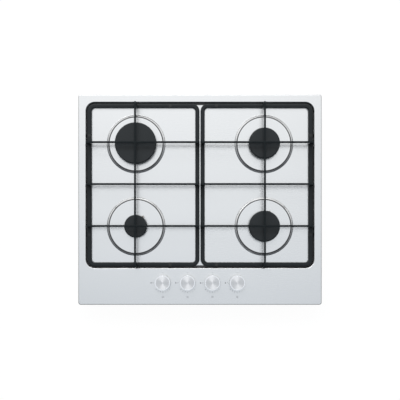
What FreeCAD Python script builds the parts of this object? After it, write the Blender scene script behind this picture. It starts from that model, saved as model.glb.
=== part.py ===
"""Built-in gas cooktop with four burners, four knobs and two pan supports.

Millimetres. +X is right, +Y is towards the rear, +Z is up. The origin is on the middle of the
worktop plate, at the level of the bottom tray's underside.
"""

import FreeCAD, Part
import math
import os
from types import SimpleNamespace

import Sketcher

Vector = FreeCAD.Vector

# Driving dimensions in mm (angles in degrees). Each goes to the sheet under its own name.
SIZES = {
    # worktop plate: pressed sheet steel with a folded skirt and a recess for the pan supports
    "plate_width": 590.0,
    "plate_depth": 510.0,
    "plate_corner_radius": 6.0,
    "plate_sheet": 1.0,
    "rim_height": 7.0,
    "rim_edge_radius": 2.0,
    "skirt_gap": 0.5,
    "depth_below_worktop": 45.0,
    "rim_side": 18.5,
    "rim_rear": 19.0,
    "front_panel": 89.0,
    "recess_drop": 5.0,
    "recess_edge_radius": 1.5,
    "recess_wall": 0.2,
    "ring_top_radius": 66.0,
    "ring_slope": 5.0,
    "ring_rise": 3.0,
    "ring_edge_radius": 1.0,
    # seal strip between the plate's rim and the worktop
    "seal_width": 9.0,
    "seal_clearance": 0.3,
    # bottom tray with an outward flange on its sides and rear
    "tray_sheet": 1.0,
    "tray_corner_radius": 6.0,
    "flange_width": 12.0,
    "flange_side_margin": 4.5,
    "flange_rear_margin": 2.0,
    "tray_front_margin": 15.0,
    "vent_length": 32.0,
    "vent_width": 4.0,
    "vent_pitch": 15.0,
    "vent_count": 9,
    "vent_column": 95.0,
    "vent_row": -20.0,
    # threaded studs under the plate, and their nuts
    "stud_radius": 2.0,
    "stud_length": 10.0,
    "stud_clearance": 0.2,
    "nut_radius": 4.0,
    "nut_height": 3.2,
    "rear_side_stud": 39.0,
    "front_side_stud": 170.0,
    "rear_stud_margin": 122.0,
    # clamps that grip the worktop from below
    "clamp_rear_margin": 84.0,
    "clamp_front_margin": 110.0,
    "clamp_reach": 24.0,
    "clamp_side_gap": 0.5,
    "clamp_strip": 2.0,
    "clamp_lip": 3.2,
    "clamp_clearance": 0.1,
    "clamp_screw_bottom": 2.2,
    "clamp_head_radius": 3.8,
    "clamp_head_height": 2.6,
    # burners
    "burner_side_margin": 121.5,
    "burner_end_margin": 101.0,
    "rapid_cap_radius": 50.0,
    "middle_cap_radius": 37.5,
    "small_cap_radius": 27.5,
    "cap_thickness": 6.5,
    "cap_edge_radius": 2.5,
    "cap_ring_depth": 3.0,
    "cap_ring_wall": 2.0,
    "cap_ring_clearance": 0.4,
    "crown_inset": 5.0,
    "crown_height": 12.0,
    "crown_wall": 3.0,
    "crown_foot_wall": 1.5,
    "crown_foot_height": 3.0,
    "crown_floor": 2.5,
    "port_width": 1.6,
    "port_height": 3.5,
    "port_pitch": 6.0,
    "spigot_depth": 5.0,
    "spigot_wall": 2.0,
    "spigot_clearance": 0.3,
    "base_flange_inset": 4.8,
    "base_flange": 2.0,
    "cup_inset": 14.0,
    "cup_wall": 2.0,
    "cup_floor": 3.0,
    "cup_bottom": 20.0,
    "cup_clearance": 0.4,
    "holder_width": 18.0,
    "holder_bottom": 6.0,
    "lug_width": 10.0,
    "lug_thickness": 3.0,
    "lug_drop": 8.0,
    "lug_end": 5.0,
    "base_screw_radius": 1.5,
    "base_screw_head_radius": 2.75,
    "base_screw_head": 2.0,
    "base_screw_length": 8.0,
    "base_screw_gap": 0.55,
    "base_screw_angle": 15.0,
    "injector_stem_radius": 3.0,
    "injector_stem": 8.0,
    "injector_head_radius": 5.5,
    "injector_head": 6.0,
    "injector_jet_radius": 0.6,
    "well_margin": 1.0,
    "thread_clearance": 0.02,
    # ignition electrodes and flame sensors
    "ceramic_radius": 3.0,
    "ceramic_stand": 4.0,
    "ceramic_tail": 4.0,
    "ceramic_collar_radius": 4.2,
    "ceramic_collar": 3.0,
    "ceramic_fit": 0.05,
    "ceramic_gap": 0.6,
    "pin_radius": 0.9,
    "pin_drop": 4.0,
    "pin_fit": 0.02,
    "spark_hat_radius": 2.0,
    "spark_hat": 1.2,
    "spark_drop": 2.5,
    "small_electrode_reach": 0.5,
    "electrode_reach": -0.5,
    "small_electrode_angle": 54.0,
    "front_electrode_angle": 69.0,
    "rear_electrode_angle": 90.0,
    "sensor_inset": 2.9,
    "sensor_angle": 225.0,
    "sensor_tip_radius": 1.3,
    "sensor_drop": 3.5,
    "sensor_body_radius": 2.4,
    "sensor_shoulder": 3.0,
    "sensor_drop_to_lead": 4.0,
    "sensor_collar_radius": 3.6,
    "sensor_collar": 2.5,
    "sensor_hole_radius": 2.2,
    # pan supports: enamelled steel frames with welded bars
    "grid_side_clearance": 4.15,
    "grid_end_clearance": 4.0,
    "grid_gap": 2.8,
    "grid_bar": 10.0,
    "grid_height": 7.2,
    "grid_corner_radius": 17.5,
    "grid_inner_radius": 8.0,
    "grid_edge_radius": 2.5,
    "bar_thickness": 4.4,
    "bar_height": 5.0,
    "bar_top": 41.0,
    "leg_excess": 0.8,
    "bar_corner_radius": 4.0,
    "bar_edge_radius": 0.8,
    "leg_lap": 3.0,
    "long_bar_overhang": 1.0,
    "cross_bar_overhang": 0.4,
    "foot_height": 1.4,
    "foot_pad_radius": 4.5,
    "foot_stem_radius": 2.5,
    "foot_head_radius": 3.7,
    "foot_head": 0.8,
    "side_foot_offset": 120.0,
    "left_foot_from_middle": 72.0,
    "right_foot_from_middle": 40.0,
    # knobs
    "knob_pitch": 60.0,
    "knob_row_margin": 53.5,
    "knob_radius": 19.0,
    "knob_taper": 0.4,
    "knob_bevel": 2.8,
    "knob_chamfer": 0.9,
    "knob_height": 17.5,
    "knob_clearance": 4.5,
    "knob_wall": 2.2,
    "knob_roof": 3.5,
    "knob_hub_radius": 6.0,
    "knob_hub_inset": 1.0,
    "knob_mark_width": 0.9,
    "knob_mark_depth": 0.5,
    "knob_seal_radius": 9.5,
    "knob_seal_lip_radius": 8.4,
    "knob_seal_flange": 1.0,
    "knob_seal_gap": 0.4,
    "knob_hole_radius": 7.0,
    "knob_seal_fit": 0.05,
    # gas taps
    "spindle_radius": 3.0,
    "spindle_top_gap": 4.0,
    "spindle_flat": 1.5,
    "spindle_flat_margin": 1.0,
    "spindle_fit": 0.03,
    "bore_fit": 0.05,
    "collar_radius": 4.5,
    "collar_height": 1.5,
    "collar_play": 0.3,
    "tongue_width": 5.2,
    "tongue_thickness": 3.0,
    "tongue_length": 8.2,
    "plug_radius": 6.0,
    "plug_depth": 7.0,
    "plug_play": 0.1,
    "slot_depth": 8.0,
    "tap_width": 22.0,
    "tap_front": 16.0,
    "tap_rear": 12.0,
    "tap_bottom": 8.0,
    "tap_floor": 2.0,
    "tap_below_plate": 11.0,
    "tap_cover": 3.0,
    "turret_radius": 5.5,
    "turret_height": 3.5,
    "port_radius": 2.5,
    "plug_port_radius": 2.0,
    "magnet_radius": 5.0,
    "magnet_length": 12.0,
    "magnet_level": 29.0,
    # gas rail, inlet and tubes
    "rail_radius": 8.0,
    "rail_wall": 1.5,
    "rail_behind": 20.0,
    "rail_level": 26.0,
    "rail_overhang": 25.0,
    "rail_bend": 25.0,
    "rail_fit": 0.05,
    "saddle_width": 16.0,
    "saddle_length": 24.0,
    "saddle_lap": 2.0,
    "saddle_before_bend": 90.0,
    "inlet_side_margin": 55.0,
    "inlet_rear_margin": 60.0,
    "inlet_body_radius": 12.0,
    "inlet_body_height": 22.0,
    "inlet_socket_radius": 10.8,
    "inlet_socket": 16.0,
    "inlet_socket_depth": 8.0,
    "inlet_thread_radius": 10.48,
    "inlet_thread_bottom": 2.0,
    "inlet_bore_radius": 6.5,
    "inlet_hole_radius": 15.0,
    "tube_radius": 4.0,
    "tube_bore": 3.0,
    "tube_level": 13.0,
    "tube_bend": 14.0,
    "tube_nut_radius": 6.5,
    "tube_nut": 10.0,
    "front_tube_lane": 55.0,
    "rear_tube_lane": 75.0,
    # wiring
    "sensor_lead_radius": 1.2,
    "sensor_lead_bend": 12.0,
    "sensor_lane": 22.0,
    "spark_lead_radius": 1.5,
    "spark_lead_gap": 3.5,
    "spark_lead_bend": 10.0,
    "lead_drop_bend": 3.5,
    "generator_width": 60.0,
    "generator_length": 40.0,
    "generator_height": 28.0,
    "generator_rear_margin": 105.0,
    "front_lead_port": 7.0,
    "rear_lead_port": 21.0,
    "front_lead_lane": 60.0,
    "rear_lead_lane": 80.0,
    "front_lead_stop": 20.0,
    "rear_lead_stop": 12.0,
    "terminal_width": 44.0,
    "terminal_length": 24.0,
    "terminal_height": 18.0,
    "terminal_gap": 28.0,
    "gland_side_margin": 60.0,
    "gland_level": 20.0,
    "gland_bore_radius": 4.0,
    "gland_neck_radius": 7.45,
    "gland_flange_radius": 11.0,
    "gland_flange": 3.0,
    "gland_tail": 7.0,
    "gland_fit": 0.05,
}

doc = FreeCAD.newDocument("GasCooktop")
sheet = doc.addObject("Spreadsheet::Sheet", "Sizes")
for row, (alias, value) in enumerate(SIZES.items(), start=1):
    sheet.set(f"A{row}", alias)
    sheet.set(f"B{row}", str(value))
    sheet.setAlias(f"B{row}", alias)
doc.recompute()


class Size:
    """A length: its formula in terms of the sheet's cells, and what that formula is worth now."""

    def __init__(self, formula, worth):
        self.formula = formula
        self.worth = worth

    def __float__(self):
        return float(self.worth)

    def __add__(self, other):
        other = as_size(other)
        return Size(f"({self.formula} + {other.formula})", self.worth + other.worth)

    def __sub__(self, other):
        other = as_size(other)
        return Size(f"({self.formula} - {other.formula})", self.worth - other.worth)

    def __mul__(self, other):
        other = as_size(other)
        return Size(f"({self.formula} * {other.formula})", self.worth * other.worth)

    def __truediv__(self, other):
        other = as_size(other)
        return Size(f"({self.formula} / {other.formula})", self.worth / other.worth)

    def __neg__(self):
        return self * -1

    def __radd__(self, other):
        return as_size(other) + self

    def __rsub__(self, other):
        return as_size(other) - self

    def __rmul__(self, other):
        return as_size(other) * self


def as_size(number):
    return number if isinstance(number, Size) else Size(f"({float(number)})", float(number))


def cosine(angle):
    return Size(f"cos({angle.formula} * 1 deg)", math.cos(math.radians(angle.worth)))


def sine(angle):
    return Size(f"sin({angle.formula} * 1 deg)", math.sin(math.radians(angle.worth)))


S = SimpleNamespace(**{name: Size(f"Sizes.{name}", worth) for name, worth in SIZES.items()})


# ------------------------------------------------------------------ helpers

CLOSE = 1e-4
SLACK = 0.1


def bind(thing, path, size):
    """Ties one property of a document object to its formula."""
    thing.setExpression(path, as_size(size).formula)


def place(thing, x=0, y=0, z=0):
    for axis, size in (("x", x), ("y", y), ("z", z)):
        bind(thing, f"Placement.Base.{axis}", size)
    return thing


AXES = {"z": FreeCAD.Rotation(), "x": FreeCAD.Rotation(Vector(0, 1, 0), 90),
        "y": FreeCAD.Rotation(Vector(1, 0, 0), -90)}


def rod(radius, length, x=0, y=0, z=0, axis="z"):
    """A round bar that starts at x, y, z and runs along the axis."""
    thing = doc.addObject("Part::Cylinder", "rod")
    thing.Placement.Rotation = AXES[axis]
    bind(thing, "Radius", radius)
    bind(thing, "Height", length)
    return place(thing, x, y, z)


def hexagon(radius, length, x=0, y=0, z=0, axis="z"):
    thing = doc.addObject("Part::Prism", "hexagon")
    thing.Polygon = 6
    thing.Placement.Rotation = AXES[axis]
    bind(thing, "Circumradius", radius)
    bind(thing, "Height", length)
    return place(thing, x, y, z)


def block(width, length, height, x=0, y=0, z=0):
    """A box centred on x and on y, standing on z."""
    thing = doc.addObject("Part::Box", "block")
    bind(thing, "Length", width)
    bind(thing, "Width", length)
    bind(thing, "Height", height)
    return place(thing, x - as_size(width) / 2, y - as_size(length) / 2, z)


def arm(length, width, height, angle, z=0):
    """A box that runs out from the Z axis at an angle."""
    thing = doc.addObject("Part::Box", "arm")
    bind(thing, "Length", length)
    bind(thing, "Width", width)
    bind(thing, "Height", height)
    bind(thing, "Placement.Rotation.Angle", Size(f"{angle.formula} * 1 deg", angle.worth))
    half = width / 2
    return place(thing, half * sine(angle), -half * cosine(angle), z)


def fuse(*things):
    whole = doc.addObject("Part::MultiFuse", "joined")
    whole.Shapes = list(things)
    whole.Refine = True
    return whole


def cut(base, *tools):
    """The base with every tool taken away, one after another."""
    for tool in tools:
        less = doc.addObject("Part::Cut", "cut")
        less.Base = base
        less.Tool = tool
        base = less
    return base


def group(label, things):
    """One sub-part that holds several separate solids of the same kind."""
    whole = doc.addObject("Part::Compound", label)
    whole.Links = list(things)
    return part(label, whole)


SUB_PARTS = {}


def part(label, thing):
    """Registers a finished sub-part under the name of its file."""
    thing.Label = label
    SUB_PARTS[label] = thing
    return thing


def new_body(label):
    body = doc.addObject("PartDesign::Body", label)
    body.Label = label
    return body


def new_sketch(body, role, level=0):
    """A sketch on one of the body's origin planes, lifted along the plane's normal."""
    plane = next(item for item in body.Origin.OriginFeatures if item.Role == role)
    sketch = body.newObject("Sketcher::SketchObject", "outline")
    sketch.AttachmentSupport = (plane, [""])
    sketch.MapMode = "FlatFace"
    bind(sketch, "AttachmentOffset.Base.z", level)
    return sketch


def hold(sketch, constraint, size):
    index = sketch.addConstraint(constraint)
    sketch.setExpression(f"Constraints[{index}]", as_size(size).formula)


def hold_point(sketch, curve, point, across, up):
    """Ties one point of a sketch to its two coordinates."""
    for kind, size, own_axis in (("DistanceX", across, -2), ("DistanceY", up, -1)):
        if abs(float(size)) < CLOSE:
            sketch.addConstraint(Sketcher.Constraint("PointOnObject", curve, point, own_axis))
        else:
            hold(sketch, Sketcher.Constraint(kind, -1, 1, curve, point, float(size)), size)


def draw_circle(sketch, across, up, radius):
    centre = Vector(float(across), float(up), 0)
    curve = sketch.addGeometry(Part.Circle(centre, Vector(0, 0, 1), float(radius)), False)
    hold_point(sketch, curve, 3, across, up)
    hold(sketch, Sketcher.Constraint("Radius", curve, float(radius)), radius)


def draw_polygon(sketch, points):
    corners = [Vector(float(across), float(up), 0) for across, up in points]
    lines = [
        sketch.addGeometry(Part.LineSegment(corner, corners[(number + 1) % len(corners)]), False)
        for number, corner in enumerate(corners)
    ]
    for number, line in enumerate(lines):
        following = lines[(number + 1) % len(lines)]
        sketch.addConstraint(Sketcher.Constraint("Coincident", line, 2, following, 1))
    for line, (across, up) in zip(lines, points):
        hold_point(sketch, line, 1, across, up)


def draw_rounded(sketch, left, front, right, rear, radius):
    """A rectangle with round corners: four lines and four arcs."""
    x0, y0, x1, y1, r = (float(size) for size in (left, front, right, rear, radius))
    ends = [
        (Vector(x0 + r, y0, 0), Vector(x1 - r, y0, 0)),
        (Vector(x1, y0 + r, 0), Vector(x1, y1 - r, 0)),
        (Vector(x1 - r, y1, 0), Vector(x0 + r, y1, 0)),
        (Vector(x0, y1 - r, 0), Vector(x0, y0 + r, 0)),
    ]
    centres = [(x1 - r, y0 + r), (x1 - r, y1 - r), (x0 + r, y1 - r), (x0 + r, y0 + r)]
    lines = [sketch.addGeometry(Part.LineSegment(*pair), False) for pair in ends]
    arcs = []
    for number, (x, y) in enumerate(centres):
        start = math.radians(90 * number - 90)
        circle = Part.Circle(Vector(x, y, 0), Vector(0, 0, 1), r)
        arcs.append(
            sketch.addGeometry(Part.ArcOfCircle(circle, start, start + math.pi / 2), False)
        )
    for number, (line, arc) in enumerate(zip(lines, arcs)):
        following = lines[(number + 1) % 4]
        sketch.addConstraint(Sketcher.Constraint("Tangent", line, 2, arc, 1))
        sketch.addConstraint(Sketcher.Constraint("Tangent", arc, 2, following, 1))
        kind = "Horizontal" if number % 2 == 0 else "Vertical"
        sketch.addConstraint(Sketcher.Constraint(kind, line))
    for arc in arcs[1:]:
        sketch.addConstraint(Sketcher.Constraint("Equal", arcs[0], arc))
    hold(sketch, Sketcher.Constraint("Radius", arcs[0], r), radius)
    hold(sketch, Sketcher.Constraint("DistanceY", -1, 1, lines[0], 1, y0), front)
    hold(sketch, Sketcher.Constraint("DistanceX", -1, 1, lines[1], 1, x1), right)
    hold(sketch, Sketcher.Constraint("DistanceY", -1, 1, lines[2], 1, y1), rear)
    hold(sketch, Sketcher.Constraint("DistanceX", -1, 1, lines[3], 1, x0), left)


def changed(body, before, sign, what):
    """Stops the build when a feature did not add, or did not take away, any material."""
    doc.recompute()
    if sign * (body.Shape.Volume - before) <= 0:
        raise RuntimeError(f"{body.Label}: {what} changed nothing")


def pad(body, sketch, length, midplane=False):
    before = body.Shape.Volume if body.Tip else 0.0
    feature = body.newObject("PartDesign::Pad", "pad")
    feature.Profile = sketch
    if midplane:
        feature.SideType = "Symmetric"
    bind(feature, "Length", length)
    changed(body, before, 1, "a pad")
    return feature


def pocket(body, sketch, depth=None, upwards=False):
    """Cuts the sketch's outline away, to a depth or, with no depth, right through."""
    before = body.Shape.Volume
    feature = body.newObject("PartDesign::Pocket", "pocket")
    feature.Profile = sketch
    feature.Reversed = upwards
    if depth is None:
        feature.Type = "ThroughAll"
    else:
        bind(feature, "Length", depth)
    changed(body, before, -1, "a pocket")
    return feature


def revolve(body, sketch):
    feature = body.newObject("PartDesign::Revolution", "turned")
    feature.Profile = sketch
    feature.ReferenceAxis = (sketch, ["V_Axis"])
    feature.Angle = 360
    changed(body, 0.0, 1, "a revolution")
    return feature


def cone(body, kind, foot, top, rise, x, y, z):
    """Adds (AdditiveCone) or takes away (SubtractiveCone) a round step."""
    before = body.Shape.Volume
    feature = body.newObject(f"PartDesign::{kind}", "step")
    bind(feature, "Radius1", foot)
    bind(feature, "Radius2", top)
    bind(feature, "Height", rise)
    place(feature, x, y, z)
    changed(body, before, 1 if kind == "AdditiveCone" else -1, "a round step")
    return feature


def fillet(body, radius, wanted):
    """Rounds the edges of the body's present shape that the test picks."""
    base = body.Tip
    names = [
        f"Edge{number}" for number, edge in enumerate(base.Shape.Edges, start=1) if wanted(edge)
    ]
    if not names:
        raise RuntimeError(f"{body.Label}: no edge to round")
    feature = body.newObject("PartDesign::Fillet", "round")
    feature.Base = (base, names)
    bind(feature, "Radius", radius)
    doc.recompute()
    return feature


def near(value, size):
    return abs(value - float(size)) < CLOSE


def lies_at(level):
    """A test for edges that lie flat at one level."""
    return lambda edge: near(edge.BoundBox.ZMin, level) and near(edge.BoundBox.ZMax, level)


def bent_path(points, bend_radii):
    """Straight runs through the points, joined by arcs that touch both runs."""
    edges = []
    start = points[0]
    for number in range(1, len(points) - 1):
        corner = points[number]
        back = (points[number - 1] - corner).normalize()
        ahead = (points[number + 1] - corner).normalize()
        turn = math.pi - back.getAngle(ahead)
        radius = bend_radii[number - 1]
        leg = radius * math.tan(turn / 2)
        middle_line = (back + ahead).normalize()
        to_middle = radius / math.cos(turn / 2) - radius
        first = corner + back * leg
        last = corner + ahead * leg
        edges.append(Part.LineSegment(start, first).toShape())
        edges.append(Part.Arc(first, corner + middle_line * to_middle, last).toShape())
        start = last
    edges.append(Part.LineSegment(start, points[-1]).toShape())
    return Part.Wire(edges)


def pipe(points, bend_radii, radius):
    """A round rod along a bent path; its volume is its section times its length."""
    path = bent_path(points, bend_radii)
    heading = (points[1] - points[0]).normalize()
    section = Part.Wire([Part.Circle(points[0], heading, radius).toShape()])
    solid = path.makePipeShell([section], True, True)
    if abs(solid.Volume / (math.pi * radius**2 * path.Length) - 1) > 0.01:
        raise RuntimeError("a pipe's volume is not its section times its length")
    return solid


def shaped(name, shape):
    thing = doc.addObject("Part::Feature", name)
    thing.Shape = shape
    return thing


def spot(x, y, z):
    return Vector(float(x), float(y), float(z))


# ------------------------------------------------ levels and lines that pieces share

KNOB_COUNT = 4
HALF_TURN = 180

worktop_level = S.depth_below_worktop
plate_top = worktop_level + S.rim_height
plate_under = plate_top - S.plate_sheet
floor_top = plate_top - S.recess_drop
floor_under = floor_top - S.plate_sheet
ring_top = floor_top + S.ring_rise
flange_top = ring_top + S.base_flange
crown_top = flange_top + S.crown_height
cap_top = crown_top + S.cap_thickness
grid_bottom = floor_top + S.foot_height
grid_top = grid_bottom + S.grid_height
bar_top = floor_top + S.bar_top
lug_level = floor_under - S.lug_drop
lug_top = lug_level + S.lug_thickness
tap_top = plate_under - S.tap_below_plate
spark_lead_level = S.tube_level + S.tube_radius + S.spark_lead_radius + S.spark_lead_gap
pin_bottom = spark_lead_level + S.pin_drop

recess_side = S.plate_width / 2 - S.rim_side
recess_rear = S.plate_depth / 2 - S.rim_rear
recess_front = S.front_panel - S.plate_depth / 2
recess_middle = (recess_rear + recess_front) / 2
recess_corner_radius = S.grid_corner_radius + S.grid_end_clearance
recess_floor_radius = S.recess_drop - S.recess_edge_radius - S.recess_wall
ring_foot_radius = S.ring_top_radius + S.ring_slope
burner_column = recess_side - S.burner_side_margin
rear_burner_row = recess_rear - S.burner_end_margin
front_burner_row = recess_front + S.burner_end_margin
tray_front = S.tray_front_margin - S.plate_depth / 2
flange_rear = recess_rear - S.flange_rear_margin
flange_side = recess_side - S.flange_side_margin
tray_rear = flange_rear - S.flange_width
tray_side = flange_side - S.flange_width
flange_middle = flange_side - S.flange_width / 2
rear_flange_middle = flange_rear - S.flange_width / 2

knob_row = S.knob_row_margin - S.plate_depth / 2
knob_bottom = plate_top + S.knob_clearance
knob_top = knob_bottom + S.knob_height
spindle_top = knob_top - S.spindle_top_gap
knob_columns = [S.knob_pitch * (number - (KNOB_COUNT - 1) / 2) for number in range(KNOB_COUNT)]

rail_row = knob_row - S.rail_behind
inlet_column = S.plate_width / 2 - S.inlet_side_margin
inlet_row = S.plate_depth / 2 - S.inlet_rear_margin
tap_back = knob_row + S.tap_rear
gland_offset = tray_side - S.gland_side_margin


class Burner:
    """Where one burner stands and the radii that follow from its cap."""

    def __init__(self, name, side, y, cap_radius, reach, electrode_angle):
        self.name = name
        self.side = side
        self.x = burner_column * side
        self.y = y
        self.cap_radius = cap_radius
        self.crown_radius = cap_radius - S.crown_inset
        self.flange_radius = cap_radius - S.base_flange_inset
        self.cup_radius = cap_radius - S.cup_inset
        self.cup_bore = self.cup_radius - S.cup_wall
        self.spigot_radius = self.cup_bore - S.spigot_clearance
        self.electrode_radius = cap_radius + reach
        self.electrode_angle = electrode_angle
        self.sensor_radius = cap_radius - S.sensor_inset
        self.sensor_angle = S.sensor_angle if side < 0 else HALF_TURN - S.sensor_angle
        self.screw_radius = (self.crown_radius - S.crown_foot_wall - S.base_screw_head_radius
                             - S.base_screw_gap)
        self.screw_angles = (S.base_screw_angle, S.base_screw_angle + HALF_TURN)

    def around(self, radius, angle):
        """The point at a radius and an angle from the burner's axis."""
        return self.x + radius * cosine(angle), self.y + radius * sine(angle)

    def electrode(self):
        return self.around(self.electrode_radius, self.electrode_angle)

    def sensor(self):
        return self.around(self.sensor_radius, self.sensor_angle)


BURNERS = [
    Burner("front_left", -1, front_burner_row, S.small_cap_radius,
           S.small_electrode_reach, S.small_electrode_angle),
    Burner("rear_left", -1, rear_burner_row, S.rapid_cap_radius,
           S.electrode_reach, S.rear_electrode_angle),
    Burner("rear_right", 1, rear_burner_row, S.middle_cap_radius,
           S.electrode_reach, S.rear_electrode_angle),
    Burner("front_right", 1, front_burner_row, S.middle_cap_radius,
           S.electrode_reach, S.front_electrode_angle),
]

first_stud_row = tray_front + S.front_side_stud
last_stud_row = flange_rear - S.rear_side_stud
side_stud_rows = (first_stud_row, (first_stud_row + last_stud_row) / 2, last_stud_row)
rear_stud_column = flange_side - S.rear_stud_margin
STUDS = [(flange_middle * side, row) for side in (-1, 1) for row in side_stud_rows]
STUDS += [(rear_stud_column * side, rear_flange_middle) for side in (-1, 1)]
CLAMPS = {
    f"worktop_clamp_{row_name}_{side_name}": (flange_middle * side, row, side)
    for side_name, side in (("left", -1), ("right", 1))
    for row_name, row in (
        ("rear", flange_rear - S.clamp_rear_margin),
        ("front", tray_front + S.clamp_front_margin),
    )
}
clamp_width = S.flange_width - S.clamp_side_gap * 2


# -------------------------------------------------------- plate, seal and tray


def recess_outline(level, outset):
    """A test for the flat edges at a level that run round the recess, grown by an outset."""
    side = float(recess_side + outset) + SLACK
    front = float(recess_front - outset) - SLACK
    rear = float(recess_rear + outset) + SLACK
    return lambda edge: (
        lies_at(level)(edge)
        and edge.BoundBox.XMin > -side
        and edge.BoundBox.XMax < side
        and edge.BoundBox.YMin > front
        and edge.BoundBox.YMax < rear
    )


def build_top_plate():
    """One pressed sheet: skirt, rim, recess with its step, and a raised ring round each burner."""
    body = new_body("top_plate")
    skirt_bottom = worktop_level + S.skirt_gap
    half_width, half_depth = S.plate_width / 2, S.plate_depth / 2

    outline = new_sketch(body, "XY_Plane", skirt_bottom)
    draw_rounded(outline, -half_width, -half_depth, half_width, half_depth, S.plate_corner_radius)
    pad(body, outline, plate_top - skirt_bottom)
    fillet(body, S.rim_edge_radius, lies_at(plate_top))

    recess = new_sketch(body, "XY_Plane", plate_top)
    draw_rounded(recess, -recess_side, recess_front, recess_side, recess_rear,
                 recess_corner_radius)
    pocket(body, recess, S.recess_drop)
    fillet(body, recess_floor_radius, lies_at(floor_top))
    fillet(body, S.recess_edge_radius, recess_outline(plate_top, 0))

    for burner in BURNERS:
        cone(body, "AdditiveCone", ring_foot_radius, S.ring_top_radius, S.ring_rise,
             burner.x, burner.y, floor_top)
    fillet(body, S.ring_edge_radius, lies_at(ring_top))

    sheet_thick = S.plate_sheet
    inner_radius = S.plate_corner_radius - sheet_thick
    under = new_sketch(body, "XY_Plane", skirt_bottom)
    draw_rounded(under, sheet_thick - half_width, sheet_thick - half_depth,
                 half_width - sheet_thick, half_depth - sheet_thick, inner_radius)
    pocket(body, under, floor_under - skirt_bottom, upwards=True)
    rim_hollow = new_sketch(body, "XY_Plane", floor_under)
    draw_rounded(rim_hollow, sheet_thick - half_width, sheet_thick - half_depth,
                 half_width - sheet_thick, half_depth - sheet_thick, inner_radius)
    draw_rounded(rim_hollow, -recess_side - sheet_thick, recess_front - sheet_thick,
                 recess_side + sheet_thick, recess_rear + sheet_thick,
                 recess_corner_radius + sheet_thick)
    pocket(body, rim_hollow, plate_under - floor_under, upwards=True)
    fillet(body, recess_floor_radius + sheet_thick, recess_outline(floor_under, sheet_thick))
    for burner in BURNERS:
        cone(body, "SubtractiveCone", ring_foot_radius - sheet_thick / 2,
             S.ring_top_radius - sheet_thick / 2, S.ring_rise, burner.x, burner.y, floor_under)

    holes = new_sketch(body, "XY_Plane", plate_top)
    for burner in BURNERS:
        draw_circle(holes, burner.x, burner.y, burner.cup_radius + S.cup_clearance)
        draw_circle(holes, *burner.electrode(), S.ceramic_radius + S.ceramic_gap)
        draw_circle(holes, *burner.sensor(), S.sensor_hole_radius)
        for angle in burner.screw_angles:
            draw_circle(holes, *burner.around(burner.screw_radius, angle),
                        S.base_screw_radius + S.thread_clearance)
    for column in knob_columns:
        draw_circle(holes, column, knob_row, S.knob_hole_radius)
    pocket(body, holes)
    part("top_plate", body)


def build_rim_seal():
    """A soft strip stuck under the rim; the cooktop rests on the worktop through it."""
    body = new_body("rim_seal")
    inset = S.plate_sheet + S.seal_clearance
    outer_x, outer_y = S.plate_width / 2 - inset, S.plate_depth / 2 - inset
    inner_x, inner_y = outer_x - S.seal_width, outer_y - S.seal_width
    outline = new_sketch(body, "XY_Plane", worktop_level)
    draw_rounded(outline, -outer_x, -outer_y, outer_x, outer_y, S.plate_corner_radius - inset)
    draw_rounded(outline, -inner_x, -inner_y, inner_x, inner_y, S.plate_corner_radius / 2)
    pad(body, outline, plate_under - worktop_level)
    part("rim_seal", body)


def build_bottom_tray():
    """A folded sheet box that hangs under the plate by its flange and hides the gas works."""
    body = new_body("bottom_tray")
    wall = S.tray_sheet
    corner = S.tray_corner_radius

    outline = new_sketch(body, "XY_Plane", 0)
    draw_rounded(outline, -tray_side, tray_front, tray_side, tray_rear, corner)
    pad(body, outline, floor_under)
    flange = new_sketch(body, "XY_Plane", floor_under - wall)
    draw_rounded(flange, -flange_side, tray_front, flange_side, flange_rear, corner)
    pad(body, flange, wall)
    inside = new_sketch(body, "XY_Plane", floor_under)
    draw_rounded(inside, wall - tray_side, tray_front + wall, tray_side - wall,
                 tray_rear - wall, corner - wall)
    pocket(body, inside, floor_under - wall)

    flange_holes = new_sketch(body, "XY_Plane", floor_under)
    for x, y in STUDS:
        draw_circle(flange_holes, x, y, S.stud_radius + S.stud_clearance)
    for x, y, _ in CLAMPS.values():
        draw_circle(flange_holes, x, y, S.stud_radius + S.thread_clearance)
    draw_circle(flange_holes, inlet_column, inlet_row, S.inlet_hole_radius)
    pocket(body, flange_holes)

    gland_hole = new_sketch(body, "XZ_Plane", -tray_rear)
    draw_circle(gland_hole, -gland_offset, S.gland_level, S.gland_neck_radius + S.gland_fit)
    pocket(body, gland_hole, S.tray_sheet, upwards=True)

    for side in (-1, 1):
        vent = new_sketch(body, "XY_Plane", wall)
        column = S.vent_column * side
        half_width, half_length = S.vent_width / 2, S.vent_length / 2
        draw_polygon(vent, [
            (column - half_width, S.vent_row - half_length),
            (column + half_width, S.vent_row - half_length),
            (column + half_width, S.vent_row + half_length),
            (column - half_width, S.vent_row + half_length),
        ])
        slot = pocket(body, vent, wall)
        before = body.Shape.Volume
        row = body.newObject("PartDesign::LinearPattern", "vents")
        row.Originals = [slot]
        row.Direction = (vent, ["H_Axis"])
        row.Reversed = side < 0
        row.Occurrences = int(float(S.vent_count))
        bind(row, "Length", S.vent_pitch * (S.vent_count - 1))
        body.Tip = row
        changed(body, before, -1, "a row of vents")
    part("bottom_tray", body)


def build_plate_fixings():
    """Studs welded under the plate pass through the tray's flange and take nuts."""
    group("plate_studs", [
        rod(S.stud_radius, S.stud_length, x, y, floor_under - S.stud_length) for x, y in STUDS
    ])
    nut_bottom = floor_under - S.tray_sheet - S.nut_height
    places = STUDS + [(x, y) for x, y, _ in CLAMPS.values()]
    group("flange_nuts", [
        cut(
            hexagon(S.nut_radius, S.nut_height, x, y, nut_bottom),
            rod(S.stud_radius + S.thread_clearance, S.nut_height, x, y, nut_bottom),
        )
        for x, y in places
    ])


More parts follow.
